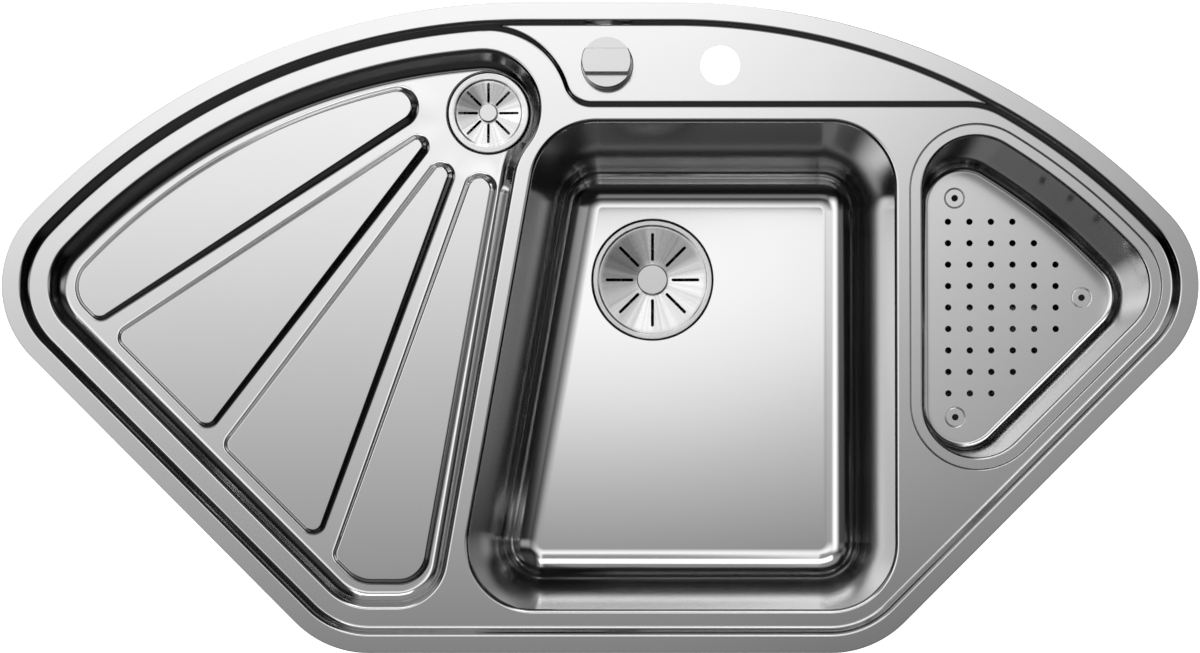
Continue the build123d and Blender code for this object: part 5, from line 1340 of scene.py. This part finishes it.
@dataclass
class Studio:
    """Camera, soft light and a light table, with sizes in millimetres.

    The surround is a ramp of light from front to back, as places from -1 to 1 with their levels,
    and has cards that dim it, cards high in it and cards low above the horizon.
    """

    camera_x: float = 70.0
    camera_y: float = -161.0
    camera_height: float = 2173.0
    view_width: float = 1056.0
    rim_top: float = 3.0
    shift_y: float = 0.10
    sensor: float = 36.0
    horizon: float = 0.10
    dark_below: float = 0.28
    full_above: float = 0.55
    dim: tuple[Card, ...] = (
        Card((-3.0, -2.0, -0.42, -0.26, 0.13, 0.28, 2.0, 3.0), -0.45),
        Card((-3.0, -2.0, -0.66, -0.48, -3.0, -2.0, 2.0, 3.0), -0.85))
    high: tuple[Card, ...] = (
        Card((-0.68, -0.52, -0.40, -0.22, -0.45, -0.20, 0.25, 0.42), 1.0),
        Card((0.30, 0.44, 0.78, 0.90, -0.12, 0.0, 0.12, 0.24), 0.30),
        Card((-0.33, -0.22, 0.06, 0.2, -0.50, -0.40, -0.30, -0.22), 0.2),
        Card((0.22, 0.38, 2.0, 3.0, 0.30, 0.48, 2.0, 3.0), 0.045))
    low: tuple[Card, ...] = (
        Card((-3.0, -2.0, 0.10, 0.28, 0.35, 0.55, 2.0, 3.0), 0.22),
        Card((-3.0, -2.0, 2.0, 3.0, -3.0, -2.0, -0.82, -0.62), 0.02))
    power: float = 1.8
    right_fall: float = 0.28
    right_edge: float = 0.36
    far_right_fall: float = 2.0
    corner_fall: float = 2.5
    back_edge: float = 0.2
    far_corner_fall: float = 8.0
    ramp: tuple[tuple[float, float], ...] = (
        (-1.0, 0.006), (-0.5, 0.005), (-0.2, 0.008), (-0.10, 0.12), (-0.053, 0.21), (0.0, 0.33),
        (0.05, 0.47), (0.085, 0.60), (0.127, 0.77), (0.20, 0.94), (0.255, 1.0),
        (0.295, 0.66), (0.34, 0.27), (0.50, 0.19), (1.0, 0.16))
    table_gap: float = 2.0
    table_reach: float = 6000.0

    def camera(self) -> None:
        """Camera straight above the sink, off its middle as the photograph was."""
        distance = self.camera_height - self.rim_top
        data = bpy.data.cameras.new("camera")
        data.sensor_width = self.sensor
        data.lens = self.sensor * distance / self.view_width
        data.shift_x = -self.camera_x / self.view_width
        data.shift_y = self.shift_y
        data.clip_end = 100.0
        camera = add_object("camera", data)
        camera.location = Vector((self.camera_x, self.camera_y, self.camera_height)) * MM
        aim = math.atan(-self.camera_y / distance)
        seen = math.atan(self.shift_y * self.sensor / data.lens)
        camera.rotation_euler = (aim - seen, 0.0, 0.0)
        bpy.context.scene.camera = camera

    def world(self) -> None:
        """Studio surround: light at the back, grey overhead, nearly black in front, and cards."""
        world = bpy.data.worlds.new("studio")
        bpy.context.scene.world = world
        world.use_nodes = True
        tree = world.node_tree
        tree.nodes.clear()
        place = add_node(tree, "ShaderNodeTexCoord").outputs["Generated"]
        parts = add_node(tree, "ShaderNodeSeparateXYZ", inputs={"Vector": place}).outputs

        def shown(card: Card) -> bpy.types.NodeSocket:
            """Level of a card where it shows, and zero elsewhere."""
            level = card.level
            for axis, edges in (("X", card.edges[:4]), ("Y", card.edges[4:])):
                for low, high in (edges[:2], edges[:1:-1]):
                    share = add_node(tree, "ShaderNodeMapRange", inputs={
                        "Value": parts[axis], "From Min": low, "From Max": high}).outputs["Result"]
                    level = add_node(tree, "ShaderNodeMath", {"operation": "MULTIPLY"}, {
                        0: share, 1: level}).outputs[0]
            return level

        values = {"x": parts["X"], "y": parts["Y"]}
        for name, operation, *given in (
                ("right", "MAXIMUM", "x", 0.0), ("past", "SUBTRACT", "right", self.right_edge),
                ("far_right", "MAXIMUM", "past", 0.0),
                ("back", "MAXIMUM", "y", 0.0), ("past", "SUBTRACT", "back", self.back_edge),
                ("far_back", "MAXIMUM", "past", 0.0),
                ("corner", "MULTIPLY", "right", "back"),
                ("far_corner", "MULTIPLY", "right", "far_back"),
                ("lean", "MULTIPLY_ADD", "right", -self.right_fall, "y"),
                ("lean", "MULTIPLY_ADD", "far_right", -self.far_right_fall, "lean"),
                ("lean", "MULTIPLY_ADD", "corner", -self.corner_fall, "lean"),
                ("lean", "MULTIPLY_ADD", "far_corner", -self.far_corner_fall, "lean")):
            values[name] = add_node(tree, "ShaderNodeMath", {"operation": operation}, {
                k: values.get(value, value) for k, value in enumerate(given)}).outputs[0]
        power = add_node(tree, "ShaderNodeMapRange", inputs={
            "Value": parts["Z"], "From Min": self.dark_below, "From Max": self.full_above,
            "To Min": self.horizon, "To Max": 1.0}).outputs["Result"]
        along = add_node(tree, "ShaderNodeMapRange", inputs={
            "Value": values["lean"], "From Min": -1.0, "From Max": 1.0}).outputs["Result"]
        ramp = add_node(tree, "ShaderNodeValToRGB", inputs={"Fac": along})
        fill_ramp(ramp, tuple(((height + 1) / 2, level) for height, level in self.ramp))
        level = ramp.outputs["Color"]
        layers = [("MULTIPLY_ADD", shown(card)) for card in self.dim]
        layers += [("MAXIMUM", shown(card)) for card in self.high]
        layers += [("MULTIPLY", power)]
        layers += [("MAXIMUM", shown(card)) for card in self.low]
        for operation, layer in layers:
            level = add_node(tree, "ShaderNodeMath", {"operation": operation}, {
                0: level, 1: layer, 2: level}).outputs[0]
        shade = add_node(tree, "ShaderNodeBackground", inputs={
            "Color": level, "Strength": self.power})
        add_node(tree, "ShaderNodeOutputWorld", inputs={"Surface": shade.outputs["Background"]})

    def lamp(self, name: str, place: tuple[float, float, float], size: tuple[float, float],
             watts: float) -> None:
        """Adds one soft box that points at the sink, with its place and size in metres."""
        data = bpy.data.lights.new(name, "AREA")
        data.shape = "RECTANGLE"
        data.size, data.size_y = size
        data.energy = watts
        lamp = add_object(name, data)
        lamp.location = place
        lamp.rotation_euler = (-Vector(place)).to_track_quat("-Z", "Y").to_euler()

    def floor(self) -> None:
        """Light table below the sink: matt opal acrylic that glows an even white."""
        low = CAD_BOX[0][2] - self.table_gap * MM
        reach = self.table_reach * MM
        mesh = bpy.data.meshes.new("studio_floor")
        mesh.from_pydata([(-reach, -reach, low), (reach, -reach, low), (reach, reach, low),
                          (-reach, reach, low)], [], [(0, 1, 2, 3)])
        floor = add_object("studio_floor", mesh)
        material, tree = new_material("light_table_opal_acrylic")
        finish_surface(tree, {
            "Base Color": linear("FAFAFA"), "Roughness": 0.9,
            "Emission Color": linear("FFFFFF"), "Emission Strength": 1.0})
        mesh.materials.append(material)

    def build(self) -> None:
        """Sets up the whole studio."""
        self.camera()
        self.world()
        self.lamp("softbox_back", place=(-0.6, 2.6, 3.0), size=(2.4, 1.2), watts=20.0)
        self.floor()
        bpy.context.scene.view_settings.view_transform = "Standard"


def place(paint: Paint, piece: bpy.types.Object, body: str, slot: str, *nodes: str) -> None:
    """Dresses a new piece, joins it to its body and lets it stand for its frame nodes."""
    paint.dress(piece, SLOT_FINISH[slot])
    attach(piece, body)
    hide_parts(*nodes)
    log.info("%s rides on %s, %d vertices", piece.name, body, len(piece.data.vertices))


def dress_frame(paint: Paint) -> None:
    """Gives every node of the frame the finish of its slot, and hubs and cups their own."""
    for entry in frame["record"]["subparts"]:
        node = frame["nodes"][entry["node"]]
        finish = SLOT_FINISH[entry["material_slot"]]
        if entry["node"].endswith("_hub"):
            finish = Finish.HUB
        # skirts and flanges take the cup finish, whose dark grey is painted shade under the lids
        if entry["node"].endswith(("_skirt", "_flange")):
            finish = Finish.PAINTED_SHADE_CUP
        paint.dress(node, finish)
        log.info("%s has %s", entry["node"], finish.value.name)


def main() -> None:
    """Builds the studio and every piece of the sink in order."""
    logging.basicConfig(level=logging.INFO, format="%(message)s")
    paint = Paint()
    dress_frame(paint)
    Studio().build()
    plan = SinkPlan()
    deck = Deck(plan)
    place(paint, deck.build(), "sink", "pressed_stainless", "sink_deck", "tap_panel", "tray_pan")
    main_bowl = Bowl("main_bowl_shell", plan.bowl, top=deck.field_z, draft=deck.bowl_draft,
                     floor=-187.0, foot_round=32.0, waste=centre_mm("main_strainer")[:2],
                     seat_radius=57.3, seat_depth=3.4, hole_radius=46.0)
    place(paint, main_bowl.build(), "sink", "pressed_stainless", "main_bowl")
    side_bowl = Bowl("side_bowl_shell", plan.side_mouth, top=deck.field_z - deck.side_drop,
                     draft=deck.side_draft, floor=-142.0, foot_round=20.0,
                     waste=centre_mm("side_grid")[:2], seat_radius=35.3, seat_depth=2.5,
                     hole_radius=30.0)
    place(paint, side_bowl.build(), "sink", "pressed_stainless", "side_bowl")
    place(paint, Colander(plan).build(), "colander", "pressed_stainless", "colander")
    main_lid = StrainerLid("main_strainer_lid", "main_strainer", rim_width=5.0, slot_start=18.3,
                           slot_end=45.0, slot_width=2.9, flat_radius=16.0)
    place(paint, main_lid.build(), "main_basket", "turned_stainless", "main_strainer")
    drainer_lid = StrainerLid("drainer_strainer_lid", "drainer_strainer", rim_width=6.1,
                              slot_start=9.2, slot_end=27.0, slot_width=2.4, flat_radius=8.8)
    place(paint, drainer_lid.build(), "drainer_strainer", "turned_stainless", "drainer_strainer")


if __name__ == "__main__":
    main()
